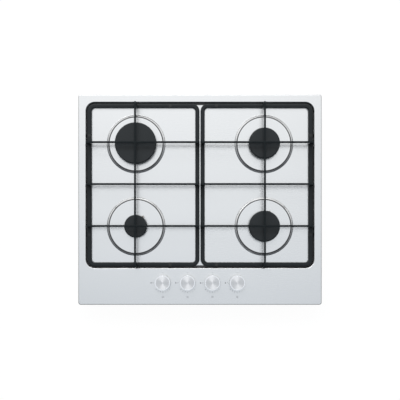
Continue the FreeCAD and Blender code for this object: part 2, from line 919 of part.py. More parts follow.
def build_clamps():
    """Steel strips that swing out on long screws and grip the worktop from below."""
    head_top = S.clamp_screw_bottom + S.clamp_head_height
    half = clamp_width / 2
    for label, (x, y, _) in CLAMPS.items():
        strip = block(clamp_width, S.clamp_reach, S.clamp_strip, 0, S.clamp_reach / 2, 0)
        eye = rod(half, S.clamp_strip)
        lip = block(clamp_width, S.clamp_strip, S.clamp_strip + S.clamp_lip, 0,
                    S.clamp_reach - S.clamp_strip / 2, 0)
        hole = rod(S.stud_radius + S.clamp_clearance, S.clamp_strip)
        place(part(label, cut(fuse(strip, eye, lip), hole)), x, y, head_top)
    shank = floor_under - head_top
    group("clamp_screws", [
        fuse(
            rod(S.clamp_head_radius, S.clamp_head_height, x, y, S.clamp_screw_bottom),
            rod(S.stud_radius, shank, x, y, head_top),
        )
        for x, y, _ in CLAMPS.values()
    ])


# ---------------------------------------------------------------------- burners


def build_burner_base(burner):
    """Cast cup through the plate: flange on top, two lugs below and a gas holder at its foot."""
    cup = rod(burner.cup_radius, flange_top - S.cup_bottom, z=S.cup_bottom)
    flange = rod(burner.flange_radius, S.base_flange, z=ring_top)
    holder = block(S.holder_width, S.holder_width, S.cup_bottom - S.holder_bottom + S.cup_floor,
                   z=S.holder_bottom)
    lugs = [
        arm(radius + S.lug_end, S.lug_width, S.lug_thickness, angle, lug_level)
        for radius, angle in (
            (burner.electrode_radius, as_size(burner.electrode_angle)),
            (burner.sensor_radius, as_size(burner.sensor_angle)),
        )
    ]
    inside_floor = S.cup_bottom + S.cup_floor
    stem_radius = S.injector_stem_radius + S.thread_clearance
    well_bottom = S.tube_level - S.port_radius - S.well_margin
    tools = [
        rod(burner.cup_bore, flange_top - inside_floor, z=inside_floor),
        rod(stem_radius, inside_floor - well_bottom, z=well_bottom),
        rod(S.port_radius, S.holder_width / 2, y=-S.holder_width / 2, z=S.tube_level, axis="y"),
    ]
    for radius, angle, hole in (
        (burner.electrode_radius, burner.electrode_angle, S.ceramic_radius + S.ceramic_fit),
        (burner.sensor_radius, burner.sensor_angle, S.sensor_body_radius + S.ceramic_fit),
    ):
        tools.append(rod(hole, S.lug_thickness, radius * cosine(angle), radius * sine(angle),
                         lug_level))
    for angle in burner.screw_angles:
        radius = burner.screw_radius
        tools.append(rod(S.base_screw_radius + S.thread_clearance, S.base_flange,
                         radius * cosine(angle), radius * sine(angle), ring_top))
    base = cut(fuse(cup, flange, holder, *lugs), *tools)
    place(part(f"burner_base_{burner.name}", base), burner.x, burner.y)


def build_burner_crown(burner):
    """Cast flame spreader: a slotted wall on a floor, with a spigot down into the cup."""
    body = new_body(f"burner_crown_{burner.name}")
    outer, spigot = burner.crown_radius, burner.spigot_radius
    foot_inner = outer - S.crown_foot_wall
    wall_inner = outer - S.crown_wall
    floor_low = flange_top + S.crown_foot_height
    floor_high = floor_low + S.crown_floor
    spigot_inner = spigot - S.spigot_wall
    section = new_sketch(body, "XZ_Plane")
    draw_polygon(section, [
        (spigot_inner, flange_top - S.spigot_depth),
        (spigot, flange_top - S.spigot_depth),
        (spigot, floor_low),
        (foot_inner, floor_low),
        (foot_inner, flange_top),
        (outer, flange_top),
        (outer, crown_top),
        (wall_inner, crown_top),
        (wall_inner, floor_high),
        (spigot_inner, floor_high),
    ])
    revolve(body, section)
    port = new_sketch(body, "XY_Plane", crown_top)
    half = S.port_width / 2
    draw_polygon(port, [
        (wall_inner - S.crown_wall / 2, -half),
        (outer + S.crown_wall, -half),
        (outer + S.crown_wall, half),
        (wall_inner - S.crown_wall / 2, half),
    ])
    slot = pocket(body, port, S.port_height)
    before = body.Shape.Volume
    pattern = body.newObject("PartDesign::PolarPattern", "ports")
    pattern.Originals = [slot]
    pattern.Axis = (port, ["N_Axis"])
    pattern.Angle = 360
    pattern.Occurrences = round(2 * math.pi * float(outer) / float(S.port_pitch))
    body.Tip = pattern
    changed(body, before, -1, "the ring of ports")
    place(part(f"burner_crown_{burner.name}", body), burner.x, burner.y)


def build_burner_cap(burner):
    """Enamelled steel cap with a ring below that centres it in the crown."""
    body = new_body(f"burner_cap_{burner.name}")
    ring_outer = burner.crown_radius - S.crown_wall - S.cap_ring_clearance
    ring_inner = ring_outer - S.cap_ring_wall
    ring_low = crown_top - S.cap_ring_depth
    section = new_sketch(body, "XZ_Plane")
    draw_polygon(section, [
        (0, crown_top),
        (ring_inner, crown_top),
        (ring_inner, ring_low),
        (ring_outer, ring_low),
        (ring_outer, crown_top),
        (burner.cap_radius, crown_top),
        (burner.cap_radius, cap_top),
        (0, cap_top),
    ])
    revolve(body, section)
    fillet(body, S.cap_edge_radius, lies_at(cap_top))
    place(part(f"burner_cap_{burner.name}", body), burner.x, burner.y)


def build_burner_fittings():
    """Small pieces that every burner has: screws, injector, electrode and flame sensor."""
    head_low = flange_top
    screws, injectors, ceramics, pins = [], [], [], []
    inside_floor = S.cup_bottom + S.cup_floor
    pin_top = crown_top - S.spark_drop
    ceramic_bottom = pin_bottom + S.ceramic_tail
    ceramic_length = flange_top + S.ceramic_stand - ceramic_bottom
    for burner in BURNERS:
        for angle in burner.screw_angles:
            x, y = burner.around(burner.screw_radius, angle)
            screws.append(fuse(
                rod(S.base_screw_head_radius, S.base_screw_head, x, y, head_low),
                rod(S.base_screw_radius, S.base_screw_length, x, y,
                    head_low - S.base_screw_length),
            ))
        whole = S.injector_stem + S.injector_head
        stem_low = inside_floor - S.injector_stem
        injectors.append(cut(
            fuse(
                rod(S.injector_stem_radius, S.injector_stem, burner.x, burner.y, stem_low),
                hexagon(S.injector_head_radius, S.injector_head, burner.x, burner.y,
                        inside_floor),
            ),
            rod(S.injector_jet_radius, whole, burner.x, burner.y, stem_low),
        ))
        x, y = burner.electrode()
        ceramics.append(cut(
            fuse(
                rod(S.ceramic_radius, ceramic_length, x, y, ceramic_bottom),
                rod(S.ceramic_collar_radius, S.ceramic_collar, x, y, lug_top),
            ),
            rod(S.pin_radius + S.pin_fit, ceramic_length, x, y,
                ceramic_bottom),
        ))
        pins.append(fuse(
            rod(S.pin_radius, pin_top - pin_bottom, x, y, pin_bottom),
            rod(S.spark_hat_radius, S.spark_hat, x, y, pin_top - S.spark_hat),
        ))
    group("burner_screws", screws)
    group("burner_injectors", injectors)
    group("electrode_ceramics", ceramics)
    group("electrode_pins", pins)


# ----------------------------------------------------------------- pan supports


def build_pan_support(side_name, side, foot_from_middle):
    """A frame with welded bars: one long bar, three cross bars and four rubber feet."""
    prefix = f"pan_support_{side_name}"
    inner_edge = S.grid_gap / 2 * side
    outer_edge = (recess_side - S.grid_side_clearance) * side
    left, right = (outer_edge, inner_edge) if side < 0 else (inner_edge, outer_edge)
    front = recess_front + S.grid_end_clearance
    rear = recess_rear - S.grid_end_clearance
    bar = S.grid_bar
    outer_bar_middle = outer_edge - bar / 2 * side
    foot_column = foot_from_middle * side
    feet = [
        (outer_bar_middle, recess_middle + S.side_foot_offset),
        (outer_bar_middle, recess_middle - S.side_foot_offset),
        (foot_column, rear - bar / 2),
        (foot_column, front + bar / 2),
    ]

    frame = new_body(f"{prefix}_frame")
    outline = new_sketch(frame, "XY_Plane", grid_bottom)
    draw_rounded(outline, left, front, right, rear, S.grid_corner_radius)
    draw_rounded(outline, left + bar, front + bar, right - bar, rear - bar, S.grid_inner_radius)
    pad(frame, outline, S.grid_height)
    fillet(frame, S.grid_edge_radius, lies_at(grid_top))
    stem_holes = new_sketch(frame, "XY_Plane", grid_top)
    for x, y in feet:
        draw_circle(stem_holes, x, y, S.foot_stem_radius + S.stud_clearance)
    pocket(frame, stem_holes)
    part(f"{prefix}_frame", frame)

    leg = bar + S.leg_excess
    leg_bottom = grid_top - S.leg_lap
    bar_bottom = bar_top - S.bar_height

    def bridge(plane, level, low, high):
        """An upturned U across the frame: a bar on two legs, rounded at its outer corners."""
        body = new_body("bridge")
        shape = new_sketch(body, plane, level)
        draw_polygon(shape, [
            (low, leg_bottom),
            (low + leg, leg_bottom),
            (low + leg, bar_bottom),
            (high - leg, bar_bottom),
            (high - leg, leg_bottom),
            (high, leg_bottom),
            (high, bar_top),
            (low, bar_top),
        ])
        pad(body, shape, S.bar_thickness, midplane=True)
        along = "X" if plane == "XZ_Plane" else "Y"
        across = "Y" if along == "X" else "X"

        def outer_corner(edge):
            box = edge.BoundBox
            ends = (getattr(box, f"{along}Min"), getattr(box, f"{along}Max"))
            wide = getattr(box, f"{across}Length")
            return (
                lies_at(bar_top)(edge)
                and near(wide, S.bar_thickness)
                and (all(near(end, low) for end in ends) or all(near(end, high) for end in ends))
            )

        fillet(body, S.bar_corner_radius, outer_corner)
        fillet(
            body,
            S.bar_edge_radius,
            lambda edge: lies_at(bar_top)(edge)
            and getattr(edge.BoundBox, f"{along}Length") > float(leg)
            and getattr(edge.BoundBox, f"{across}Length") < CLOSE,
        )
        return body

    cross_rows = (rear_burner_row, recess_middle, front_burner_row)
    long_column = burner_column * side
    over = S.long_bar_overhang
    long_bar = bridge("YZ_Plane", long_column, front - over, rear + over)
    half_height = S.bar_height / 2
    notches = [
        block(S.bar_thickness * 2, S.bar_thickness, half_height, long_column, row,
              bar_top - half_height)
        for row in cross_rows
    ]
    part(f"{prefix}_long_bar", cut(long_bar, frame, *notches))

    cross_bars = []
    for row in cross_rows:
        over = S.cross_bar_overhang
        cross = bridge("XZ_Plane", -row, left - over, right + over)
        notch = block(S.bar_thickness, S.bar_thickness * 2, half_height, long_column, row,
                      bar_bottom)
        cross_bars.append(cut(cross, frame, notch))
    group(f"{prefix}_cross_bars", cross_bars)

    stem = S.grid_height
    group(f"{prefix}_feet", [
        fuse(
            rod(S.foot_pad_radius, S.foot_height, x, y, floor_top),
            rod(S.foot_stem_radius, stem, x, y, grid_bottom),
            rod(S.foot_head_radius, S.foot_head, x, y, grid_top),
        )
        for x, y in feet
    ])


# --------------------------------------------------------------- knobs and taps


def flat_shaft(radius, flat, length, x, y, z):
    """A round bar with one flat side, towards +X."""
    whole = rod(radius, length, x, y, z)
    beyond = block(radius * 2, radius * 2, length, x + flat + radius, y, z)
    return cut(whole, beyond)


def build_knob(number, column):
    """A turned knob: thin wall, hub with a D-shaped bore, bevelled rim and an index notch."""
    body = new_body("turned_knob")
    roof = knob_top - S.knob_roof
    hub_bottom = knob_bottom + S.knob_hub_inset
    wall_inner = S.knob_radius - S.knob_wall
    shoulder_radius = S.knob_radius - S.knob_taper
    face_radius = shoulder_radius - S.knob_bevel
    section = new_sketch(body, "XZ_Plane")
    draw_polygon(section, [
        (0, hub_bottom),
        (S.knob_hub_radius, hub_bottom),
        (S.knob_hub_radius, roof),
        (wall_inner, roof),
        (wall_inner, knob_bottom),
        (S.knob_radius, knob_bottom),
        (shoulder_radius, knob_top - S.knob_chamfer),
        (face_radius, knob_top),
        (0, knob_top),
    ])
    revolve(body, section)
    place(body, column, knob_row)
    bore = flat_shaft(
        S.spindle_radius + S.spindle_fit, S.spindle_flat + S.spindle_fit,
        spindle_top + S.spindle_fit - hub_bottom, column, knob_row, hub_bottom)
    mark_middle = (face_radius + S.knob_radius) / 2 + S.knob_mark_width
    mark = block(S.knob_mark_width, S.knob_radius - face_radius,
                 S.knob_chamfer + S.knob_mark_depth * 2, column, knob_row + mark_middle,
                 knob_top - S.knob_chamfer - S.knob_mark_depth)
    part(f"knob_{number}", cut(body, bore, mark))


def build_spindle(number, column):
    """Tap spindle: flat on top for the knob, a collar under the cover, a tongue below."""
    collar_top = tap_top - S.collar_play
    collar_low = collar_top - S.collar_height
    flat_low = knob_bottom + S.knob_hub_inset - S.spindle_flat_margin
    shaft = rod(S.spindle_radius, flat_low - collar_low, column, knob_row, collar_low)
    top = flat_shaft(S.spindle_radius, S.spindle_flat, spindle_top - flat_low, column, knob_row,
                     flat_low)
    collar = rod(S.collar_radius, S.collar_height, column, knob_row, collar_low)
    tongue = block(S.tongue_width, S.tongue_thickness, S.tongue_length, column, knob_row,
                   collar_low - S.tongue_length)
    part(f"valve_spindle_{number}", fuse(shaft, top, collar, tongue))


def build_plug(number, column):
    """Brass plug that meters the gas; its slot takes the spindle's tongue."""
    low = S.tap_bottom + S.tap_floor + S.plug_play
    plug_top = tap_top - S.plug_depth
    slot_floor = plug_top - S.slot_depth
    whole = rod(S.plug_radius, plug_top - low, column, knob_row, low)
    slot = block(S.tongue_width + S.bore_fit * 2, S.tongue_thickness + S.bore_fit * 2,
                 plug_top - slot_floor, column, knob_row, slot_floor)
    port = rod(S.plug_port_radius, S.plug_radius * 2, column, knob_row - S.plug_radius,
               S.tube_level + S.plug_play, axis="y")
    part(f"valve_plug_{number}", cut(whole, slot, port))


def build_taps():
    bodies, covers, seals = [], [], []
    tap_length = S.tap_front + S.tap_rear
    tap_middle = knob_row + (S.tap_rear - S.tap_front) / 2
    cavity_floor = S.tap_bottom + S.tap_floor
    seal_low = plate_under - S.knob_seal_flange
    cover_length = S.tap_rear * 2
    for column in knob_columns:
        casting = fuse(
            block(S.tap_width, tap_length, tap_top - S.tap_bottom, column, tap_middle,
                  S.tap_bottom),
            rod(S.magnet_radius, S.magnet_length, column, tap_back, S.magnet_level, axis="y"),
        )
        bodies.append(cut(
            casting,
            rod(S.plug_radius + S.bore_fit, tap_top - cavity_floor, column, knob_row,
                cavity_floor),
            rod(S.rail_radius + S.rail_fit, S.tap_width * 2, column - S.tap_width, rail_row,
                S.rail_level, axis="x"),
            rod(S.port_radius, S.tap_rear, column, knob_row, S.tube_level, axis="y"),
        ))
        covers.append(cut(
            fuse(
                block(S.tap_width, cover_length, S.tap_cover, column, knob_row, tap_top),
                rod(S.turret_radius, S.tap_cover + S.turret_height, column, knob_row, tap_top),
            ),
            rod(S.spindle_radius + S.bore_fit, S.tap_cover + S.turret_height, column, knob_row,
                tap_top),
        ))
        whole = plate_top + S.knob_seal_flange - seal_low
        seals.append(cut(
            fuse(
                rod(S.knob_seal_radius, S.knob_seal_flange, column, knob_row, plate_top),
                rod(S.knob_hole_radius - S.knob_seal_fit, S.plate_sheet, column, knob_row,
                    plate_under),
                rod(S.knob_seal_lip_radius, S.knob_seal_flange, column, knob_row, seal_low),
            ),
            rod(S.spindle_radius + S.knob_seal_gap, whole, column, knob_row, seal_low),
        ))
    group("valve_bodies", bodies)
    group("valve_covers", covers)
    group("knob_seals", seals)
    for number, column in enumerate(knob_columns, start=1):
        build_knob(number, column)
        build_spindle(number, column)
        build_plug(number, column)


# --------------------------------------------------------------------- gas ways


def build_gas_rail():
    """A steel tube along the taps that turns back along the right side to the inlet."""
    socket_start = inlet_row - S.inlet_socket
    tube_end = socket_start + S.inlet_socket_depth
    end_wall = S.rail_wall * 2
    bends = [float(S.rail_bend)]
    left_end = knob_columns[0] - S.rail_overhang
    corner = spot(inlet_column, rail_row, S.rail_level)
    finish = spot(inlet_column, tube_end, S.rail_level)
    outside = pipe([spot(left_end, rail_row, S.rail_level), corner, finish], bends,
                   float(S.rail_radius))
    bore_start = spot(left_end + end_wall, rail_row, S.rail_level)
    inside = pipe([bore_start, corner, finish], bends, float(S.rail_radius - S.rail_wall))
    part("gas_rail", shaped("gas_rail", outside.cut(inside)))

    along_x = [
        cut(
            block(S.saddle_width, S.saddle_length, S.rail_level + S.saddle_lap - S.tray_sheet,
                  column, rail_row, S.tray_sheet),
            rod(S.rail_radius + S.rail_fit, S.saddle_width * 2, column - S.saddle_width, rail_row,
                S.rail_level, axis="x"),
        )
        for column in (as_size(0), inlet_column - S.saddle_before_bend)
    ]
    side_saddle = cut(
        block(S.saddle_length, S.saddle_width, S.rail_level + S.saddle_lap - S.tray_sheet,
              inlet_column, 0, S.tray_sheet),
        rod(S.rail_radius + S.rail_fit, S.saddle_width * 2, inlet_column, -S.saddle_width,
            S.rail_level, axis="y"),
    )
    group("rail_saddles", [*along_x, side_saddle])


def build_inlet():
    """Brass elbow: a socket for the rail and a G 1/2 thread that points down out of the tray."""
    thread_top = S.rail_level - S.inlet_body_height / 2
    socket_start = inlet_row - S.inlet_socket
    casting = fuse(
        rod(S.inlet_body_radius, S.inlet_body_height, inlet_column, inlet_row, thread_top),
        rod(S.inlet_socket_radius, S.inlet_socket, inlet_column, socket_start, S.rail_level,
            axis="y"),
        rod(S.inlet_thread_radius, thread_top - S.inlet_thread_bottom, inlet_column, inlet_row,
            S.inlet_thread_bottom),
    )
    elbow = cut(
        casting,
        rod(S.rail_radius + S.rail_fit, S.inlet_socket_depth, inlet_column, socket_start,
            S.rail_level, axis="y"),
        rod(S.inlet_bore_radius, S.inlet_socket, inlet_column, socket_start, S.rail_level,
            axis="y"),
        rod(S.inlet_bore_radius, S.rail_level - S.inlet_thread_bottom, inlet_column, inlet_row,
            S.inlet_thread_bottom),
    )
    part("inlet_elbow", elbow)


def build_gas_tubes():
    """One bent aluminium tube from each tap to its burner, with a nut at each end."""
    tubes, nuts = [], []
    for burner, column in zip(BURNERS, knob_columns):
        holder_front = burner.y - S.holder_width / 2
        lane = S.front_tube_lane if "front" in burner.name else S.rear_tube_lane
        turn_row = burner.y - lane
        route = [
            spot(column, tap_back, S.tube_level),
            spot(column, turn_row, S.tube_level),
            spot(burner.x, turn_row, S.tube_level),
            spot(burner.x, holder_front, S.tube_level),
        ]
        bends = [float(S.tube_bend)] * 2
        outside = pipe(route, bends, float(S.tube_radius))
        inside = pipe(route, bends, float(S.tube_bore))
        tubes.append(shaped("tube", outside.cut(inside)))
        for x, y in ((column, tap_back), (burner.x, holder_front - S.tube_nut)):
            nuts.append(cut(
                hexagon(S.tube_nut_radius, S.tube_nut, x, y, S.tube_level, axis="y"),
                rod(S.tube_radius + S.thread_clearance, S.tube_nut, x, y, S.tube_level,
                    axis="y"),
            ))
    group("gas_supply_tubes", tubes)
    group("tube_nuts", nuts)


# ----------------------------------------------------------------------- wiring


def build_flame_sensors():
    """Thermocouples: a probe beside each crown whose copper lead runs to its tap."""
    sensors = []
    upright = Vector(0, 0, 1)
    tip_top = crown_top - S.sensor_drop
    for burner, column in zip(BURNERS, knob_columns):
        x, y = burner.sensor()
        body_low = float(S.magnet_level + S.sensor_drop_to_lead)
        body_top = float(lug_top + S.sensor_shoulder)
        foot = spot(x, y, body_low)
        probe = Part.makeCylinder(float(S.sensor_body_radius), body_top - body_low, foot, upright)
        collar = Part.makeCylinder(float(S.sensor_collar_radius), float(S.sensor_collar),
                                   spot(x, y, lug_top), upright)
        tip = Part.makeCylinder(float(S.sensor_tip_radius), float(tip_top) - body_top,
                                spot(x, y, body_top), upright)
        lane = y - S.sensor_lane
        level = S.magnet_level
        lead = pipe(
            [
                foot,
                spot(x, y, level),
                spot(x, lane, level),
                spot(column, lane, level),
                spot(column, tap_back + S.magnet_length, level),
            ],
            [float(S.lead_drop_bend), float(S.sensor_lead_bend), float(S.sensor_lead_bend)],
            float(S.sensor_lead_radius),
        )
        sensors.append(shaped("sensor", probe.multiFuse([collar, tip, lead]).removeSplitter()))
    group("thermocouples", sensors)


def build_ignition():
    """A spark generator on the tray's floor and a lead from it to every electrode."""
    generator_row = S.plate_depth / 2 - S.generator_rear_margin
    front_face = generator_row - S.generator_length / 2
    part("spark_generator", block(S.generator_width, S.generator_length, S.generator_height, 0,
                                  generator_row, S.tray_sheet))
    leads = []
    level = spark_lead_level
    for burner in BURNERS:
        in_front = "front" in burner.name
        x, y = burner.electrode()
        lane = (S.front_lead_lane if in_front else S.rear_lead_lane) * burner.side
        stop = front_face - (S.front_lead_stop if in_front else S.rear_lead_stop)
        port = (S.front_lead_port if in_front else S.rear_lead_port) * burner.side
        points = [
            spot(x, y, pin_bottom),
            spot(x, y, level),
            spot(lane, y, level),
            spot(lane, stop, level),
            spot(port, stop, level),
            spot(port, front_face, level),
        ]
        bends = [float(S.lead_drop_bend)] + [float(S.spark_lead_bend)] * 3
        leads.append(shaped("lead", pipe(points, bends, float(S.spark_lead_radius))))
    group("ignition_leads", leads)


def build_mains_inlet():
    """The gland in the tray's rear wall that a mains cord comes in by, and its terminals."""
    gland_x = -gland_offset
    wall_inner = tray_rear - S.tray_sheet
    whole = S.gland_tail + S.tray_sheet + S.gland_flange
    gland = cut(
        fuse(
            rod(S.gland_neck_radius, whole, gland_x, wall_inner - S.gland_tail, S.gland_level,
                axis="y"),
            rod(S.gland_flange_radius, S.gland_flange, gland_x, tray_rear, S.gland_level,
                axis="y"),
            hexagon(S.gland_flange_radius, S.gland_tail / 2, gland_x,
                    wall_inner - S.gland_tail / 2, S.gland_level, axis="y"),
        ),
        rod(S.gland_bore_radius, whole, gland_x, wall_inner - S.gland_tail, S.gland_level,
            axis="y"),
    )
    part("cable_gland", gland)
    terminals = block(S.terminal_width, S.terminal_length, S.terminal_height, gland_x,
                      tray_rear - S.terminal_gap - S.terminal_length / 2, S.tray_sheet)
    part("terminal_block", terminals)


# ------------------------------------------------------------------------ build

build_top_plate()
build_rim_seal()
build_bottom_tray()
build_plate_fixings()
build_clamps()
for each_burner in BURNERS:
    build_burner_base(each_burner)
    build_burner_crown(each_burner)
    build_burner_cap(each_burner)
build_burner_fittings()
build_flame_sensors()
build_pan_support("left", -1, S.left_foot_from_middle)
build_pan_support("right", 1, S.right_foot_from_middle)
build_taps()
build_gas_rail()
build_inlet()
build_gas_tubes()
build_ignition()
build_mains_inlet()
doc.recompute()

for thing in doc.Objects:
    if "Invalid" in thing.State or "Error" in thing.State:
        raise RuntimeError(f"{thing.Label} ({thing.Name}) did not build: {thing.State}")
for label, thing in SUB_PARTS.items():
    if thing.Shape.isNull() or not thing.Shape.isValid():
        raise RuntimeError(f"{label} has no valid shape")

os.makedirs("parts", exist_ok=True)
for label, thing in SUB_PARTS.items():
    thing.Shape.exportStep(f"parts/{label}.step")
print(f"{len(SUB_PARTS)} sub-parts written")
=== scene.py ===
import math

import bpy
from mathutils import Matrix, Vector


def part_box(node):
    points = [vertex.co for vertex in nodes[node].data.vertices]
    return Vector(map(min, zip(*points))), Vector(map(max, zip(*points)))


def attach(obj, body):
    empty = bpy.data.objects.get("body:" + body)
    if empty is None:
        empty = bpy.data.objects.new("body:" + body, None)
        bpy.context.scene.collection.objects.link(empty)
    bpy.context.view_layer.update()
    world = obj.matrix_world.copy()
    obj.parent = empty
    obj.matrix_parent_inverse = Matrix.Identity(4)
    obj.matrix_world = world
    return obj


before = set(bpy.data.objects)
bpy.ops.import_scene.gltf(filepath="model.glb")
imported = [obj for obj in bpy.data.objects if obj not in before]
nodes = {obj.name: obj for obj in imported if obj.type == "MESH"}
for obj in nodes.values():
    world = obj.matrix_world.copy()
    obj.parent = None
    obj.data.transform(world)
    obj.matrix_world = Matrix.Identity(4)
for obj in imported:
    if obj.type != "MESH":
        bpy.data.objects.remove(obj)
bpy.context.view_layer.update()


# ---------------------------------------------------------------- camera and studio
# The camera looks straight down from above the knobs, with its lens shifted to the plate's
# middle. The studio is a bright soft ceiling that falls off to the front and to both sides,
# with darker walls, one broad lamp behind, and a plain white floor.

CAMERA_HEIGHT = 2.197
CAMERA_FORWARD = -0.1275
SENSOR_MILLIMETRES = 36.0
FIELD_WIDTH = 0.9712
FIELD_CENTRE = -0.0008
RECESS_LEVEL = 0.047

camera = bpy.data.objects.new("camera", bpy.data.cameras.new("camera"))
bpy.context.scene.collection.objects.link(camera)
camera.location = (0, CAMERA_FORWARD, CAMERA_HEIGHT)
camera.data.sensor_width = SENSOR_MILLIMETRES
camera.data.lens = SENSOR_MILLIMETRES * (CAMERA_HEIGHT - RECESS_LEVEL) / FIELD_WIDTH
camera.data.shift_y = (FIELD_CENTRE - CAMERA_FORWARD) / FIELD_WIDTH
bpy.context.scene.camera = camera


def add(tree, kind, inputs=None, **settings):
    """Adds a node, applies its settings, and fills or links its inputs by name or number."""
    node = tree.nodes.new(kind)
    for name, value in settings.items():
        setattr(node, name, value)
    for name, value in (inputs or {}).items():
        socket = node.inputs[name]
        if isinstance(value, bpy.types.NodeSocket):
            tree.links.new(value, socket)
        else:
            socket.default_value = value
    return node


def reckon(tree, operation, *values):
    """One step of arithmetic on plain numbers and sockets."""
    return add(tree, "ShaderNodeMath", dict(enumerate(values)), operation=operation).outputs[0]


def reckon_point(tree, operation, *values, gives="Vector"):
    """One step of arithmetic on points or directions."""
    step = add(tree, "ShaderNodeVectorMath", dict(enumerate(values)), operation=operation)
    return step.outputs[gives]


def scaled(tree, colour, share):
    """A colour or point times one number."""
    step = add(tree, "ShaderNodeVectorMath", {0: colour, "Scale": share}, operation="SCALE")
    return step.outputs["Vector"]


def ramp(tree, factor, stops):
    """A colour ramp through (position, colour) stops."""
    node = add(tree, "ShaderNodeValToRGB", {"Fac": factor})
    elements = node.color_ramp.elements
    while len(elements) < len(stops):
        elements.new(1.0)
    for element, (position, colour) in zip(elements, stops):
        element.position = position
        element.color = (*colour, 1)
    return node.outputs["Color"]


CEILING_SPAN = (-0.30, 0.30)
CEILING_STOPS = (
    (0.0, (0.38, 0.42, 0.465)),
    (0.34, (0.70, 0.755, 0.82)),
    (0.50, (0.985, 1.01, 1.035)),
    (1.0, (1.09, 1.09, 1.09)))
CEILING_SIDES = (0.18, 0.50)
CEILING_SIDE_SHARE = 0.36
HIGH_WALL_STOPS = (
    (0.20, (0.12, 0.125, 0.135)),
    (0.48, (0.33, 0.34, 0.355)),
    (0.70, (0.95, 0.95, 0.95)))
HIGH_WALL_RISE = (0.86, 0.66)
LOW_WALL_STOPS = (
    (0.20, (0.09, 0.095, 0.10)),
    (0.48, (0.22, 0.225, 0.235)),
    (0.70, (0.90, 0.90, 0.905)))
LOW_WALL_RISE = (0.50, 0.28)

world = bpy.data.worlds.new("studio")
bpy.context.scene.world = world
world.use_nodes = True
studio = world.node_tree
heading = add(studio, "ShaderNodeTexCoord").outputs["Generated"]
split = add(studio, "ShaderNodeSeparateXYZ", {"Vector": heading})


def fade(value, span, first=0.0, last=1.0):
    """The studio's share of one part in another, along a heading."""
    return add(studio, "ShaderNodeMapRange", {
        "Value": value, "From Min": span[0], "From Max": span[1],
        "To Min": first, "To Max": last}).outputs["Result"]


def blend_studio(share, first, second):
    """The studio's first part, turning into its second by the share."""
    return add(studio, "ShaderNodeMix", {"Factor": share, "A": first, "B": second},
               data_type="RGBA").outputs["Result"]


ceiling = ramp(studio, fade(split.outputs["Y"], CEILING_SPAN), CEILING_STOPS)
aside = reckon(studio, "ABSOLUTE", split.outputs["X"])
ceiling = scaled(studio, ceiling, fade(aside, CEILING_SIDES, 1.0, CEILING_SIDE_SHARE))
round_place = fade(split.outputs["Y"], (-1.0, 1.0))
high_walls = ramp(studio, round_place, HIGH_WALL_STOPS)
low_walls = ramp(studio, round_place, LOW_WALL_STOPS)
sky = blend_studio(fade(split.outputs["Z"], HIGH_WALL_RISE), ceiling, high_walls)
sky = blend_studio(fade(split.outputs["Z"], LOW_WALL_RISE), sky, low_walls)
studio.links.new(sky, studio.nodes["Background"].inputs["Color"])
studio.nodes["Background"].inputs["Strength"].default_value = 1.0

LAMP_PLACE = (-0.6, 2.4, 2.6)
LAMP_WIDTH = 3.6
LAMP_DEPTH = 1.2
LAMP_WATTS = 52

key_light = bpy.data.lights.new("key_light", "AREA")
key_light.shape = "RECTANGLE"
key_light.size = LAMP_WIDTH
key_light.size_y = LAMP_DEPTH
key_light.energy = LAMP_WATTS
key = bpy.data.objects.new("key_light", key_light)
bpy.context.scene.collection.objects.link(key)
key.location = LAMP_PLACE
key.rotation_euler = (-Vector(key.location)).to_track_quat("-Z", "Y").to_euler()

FLOOR_REACH = 30.0
FLOOR_LEVEL = -0.0004
FLOOR_CORNERS = ((-1, -1), (1, -1), (1, 1), (-1, 1))
FLOOR_COLOUR = (0.9, 0.9, 0.9, 1)
FLOOR_ROUGHNESS = 0.8
FLOOR_GLOW = 1.04
FLOOR_GLOW_SHARE = 0.92

floor_mesh = bpy.data.meshes.new("floor")
floor_mesh.from_pydata([(x * FLOOR_REACH, y * FLOOR_REACH, FLOOR_LEVEL) for x, y in FLOOR_CORNERS],
                       [], [(0, 1, 2, 3)])
floor = bpy.data.objects.new("floor", floor_mesh)
bpy.context.scene.collection.objects.link(floor)
floor_material = bpy.data.materials.new("floor")
floor_material.use_nodes = True
floor_tree = floor_material.node_tree
floor_shader = floor_tree.nodes["Principled BSDF"]
floor_shader.inputs["Base Color"].default_value = FLOOR_COLOUR
floor_shader.inputs["Roughness"].default_value = FLOOR_ROUGHNESS
path = add(floor_tree, "ShaderNodeLightPath").outputs
seen = reckon(floor_tree, "MAXIMUM", path["Is Camera Ray"], path["Is Glossy Ray"])
seen = reckon(floor_tree, "MAXIMUM", seen, path["Is Transmission Ray"])
share = reckon(floor_tree, "MULTIPLY", seen, FLOOR_GLOW_SHARE)
glow = add(floor_tree, "ShaderNodeEmission", {"Color": (1, 1, 1, 1), "Strength": FLOOR_GLOW})
floor_mix = add(floor_tree, "ShaderNodeMixShader", {
    0: share, 1: floor_shader.outputs[0], 2: glow.outputs[0]})
floor_tree.links.new(floor_mix.outputs[0], floor_tree.nodes["Material Output"].inputs["Surface"])
floor_mesh.materials.append(floor_material)


# --------------------------------------------------------------------- worktop plate
# One sheet of stainless steel, brushed from side to side, then pressed into a recess for the
# pan supports and a raised ring round each burner, and folded down into a skirt. Shade is
# painted into the steel's colour: a dark line at the rings' feet, a shadow in the gap round the
# pan supports' frames, and a dark band along the plate's outer edge.

def finish(name, colour, metallic=0.0, roughness=0.5):
    """A new material with its plain values set; returns it with its tree and shader."""
    material = bpy.data.materials.new(name)
    material.use_nodes = True
    tree = material.node_tree
    shader = tree.nodes["Principled BSDF"]
    shader.inputs["Base Color"].default_value = (*colour, 1)
    shader.inputs["Metallic"].default_value = metallic
    shader.inputs["Roughness"].default_value = roughness
    return material, tree, shader


def piece_place(tree):
    """The point on the piece, in metres."""
    return add(tree, "ShaderNodeTexCoord").outputs["Object"]


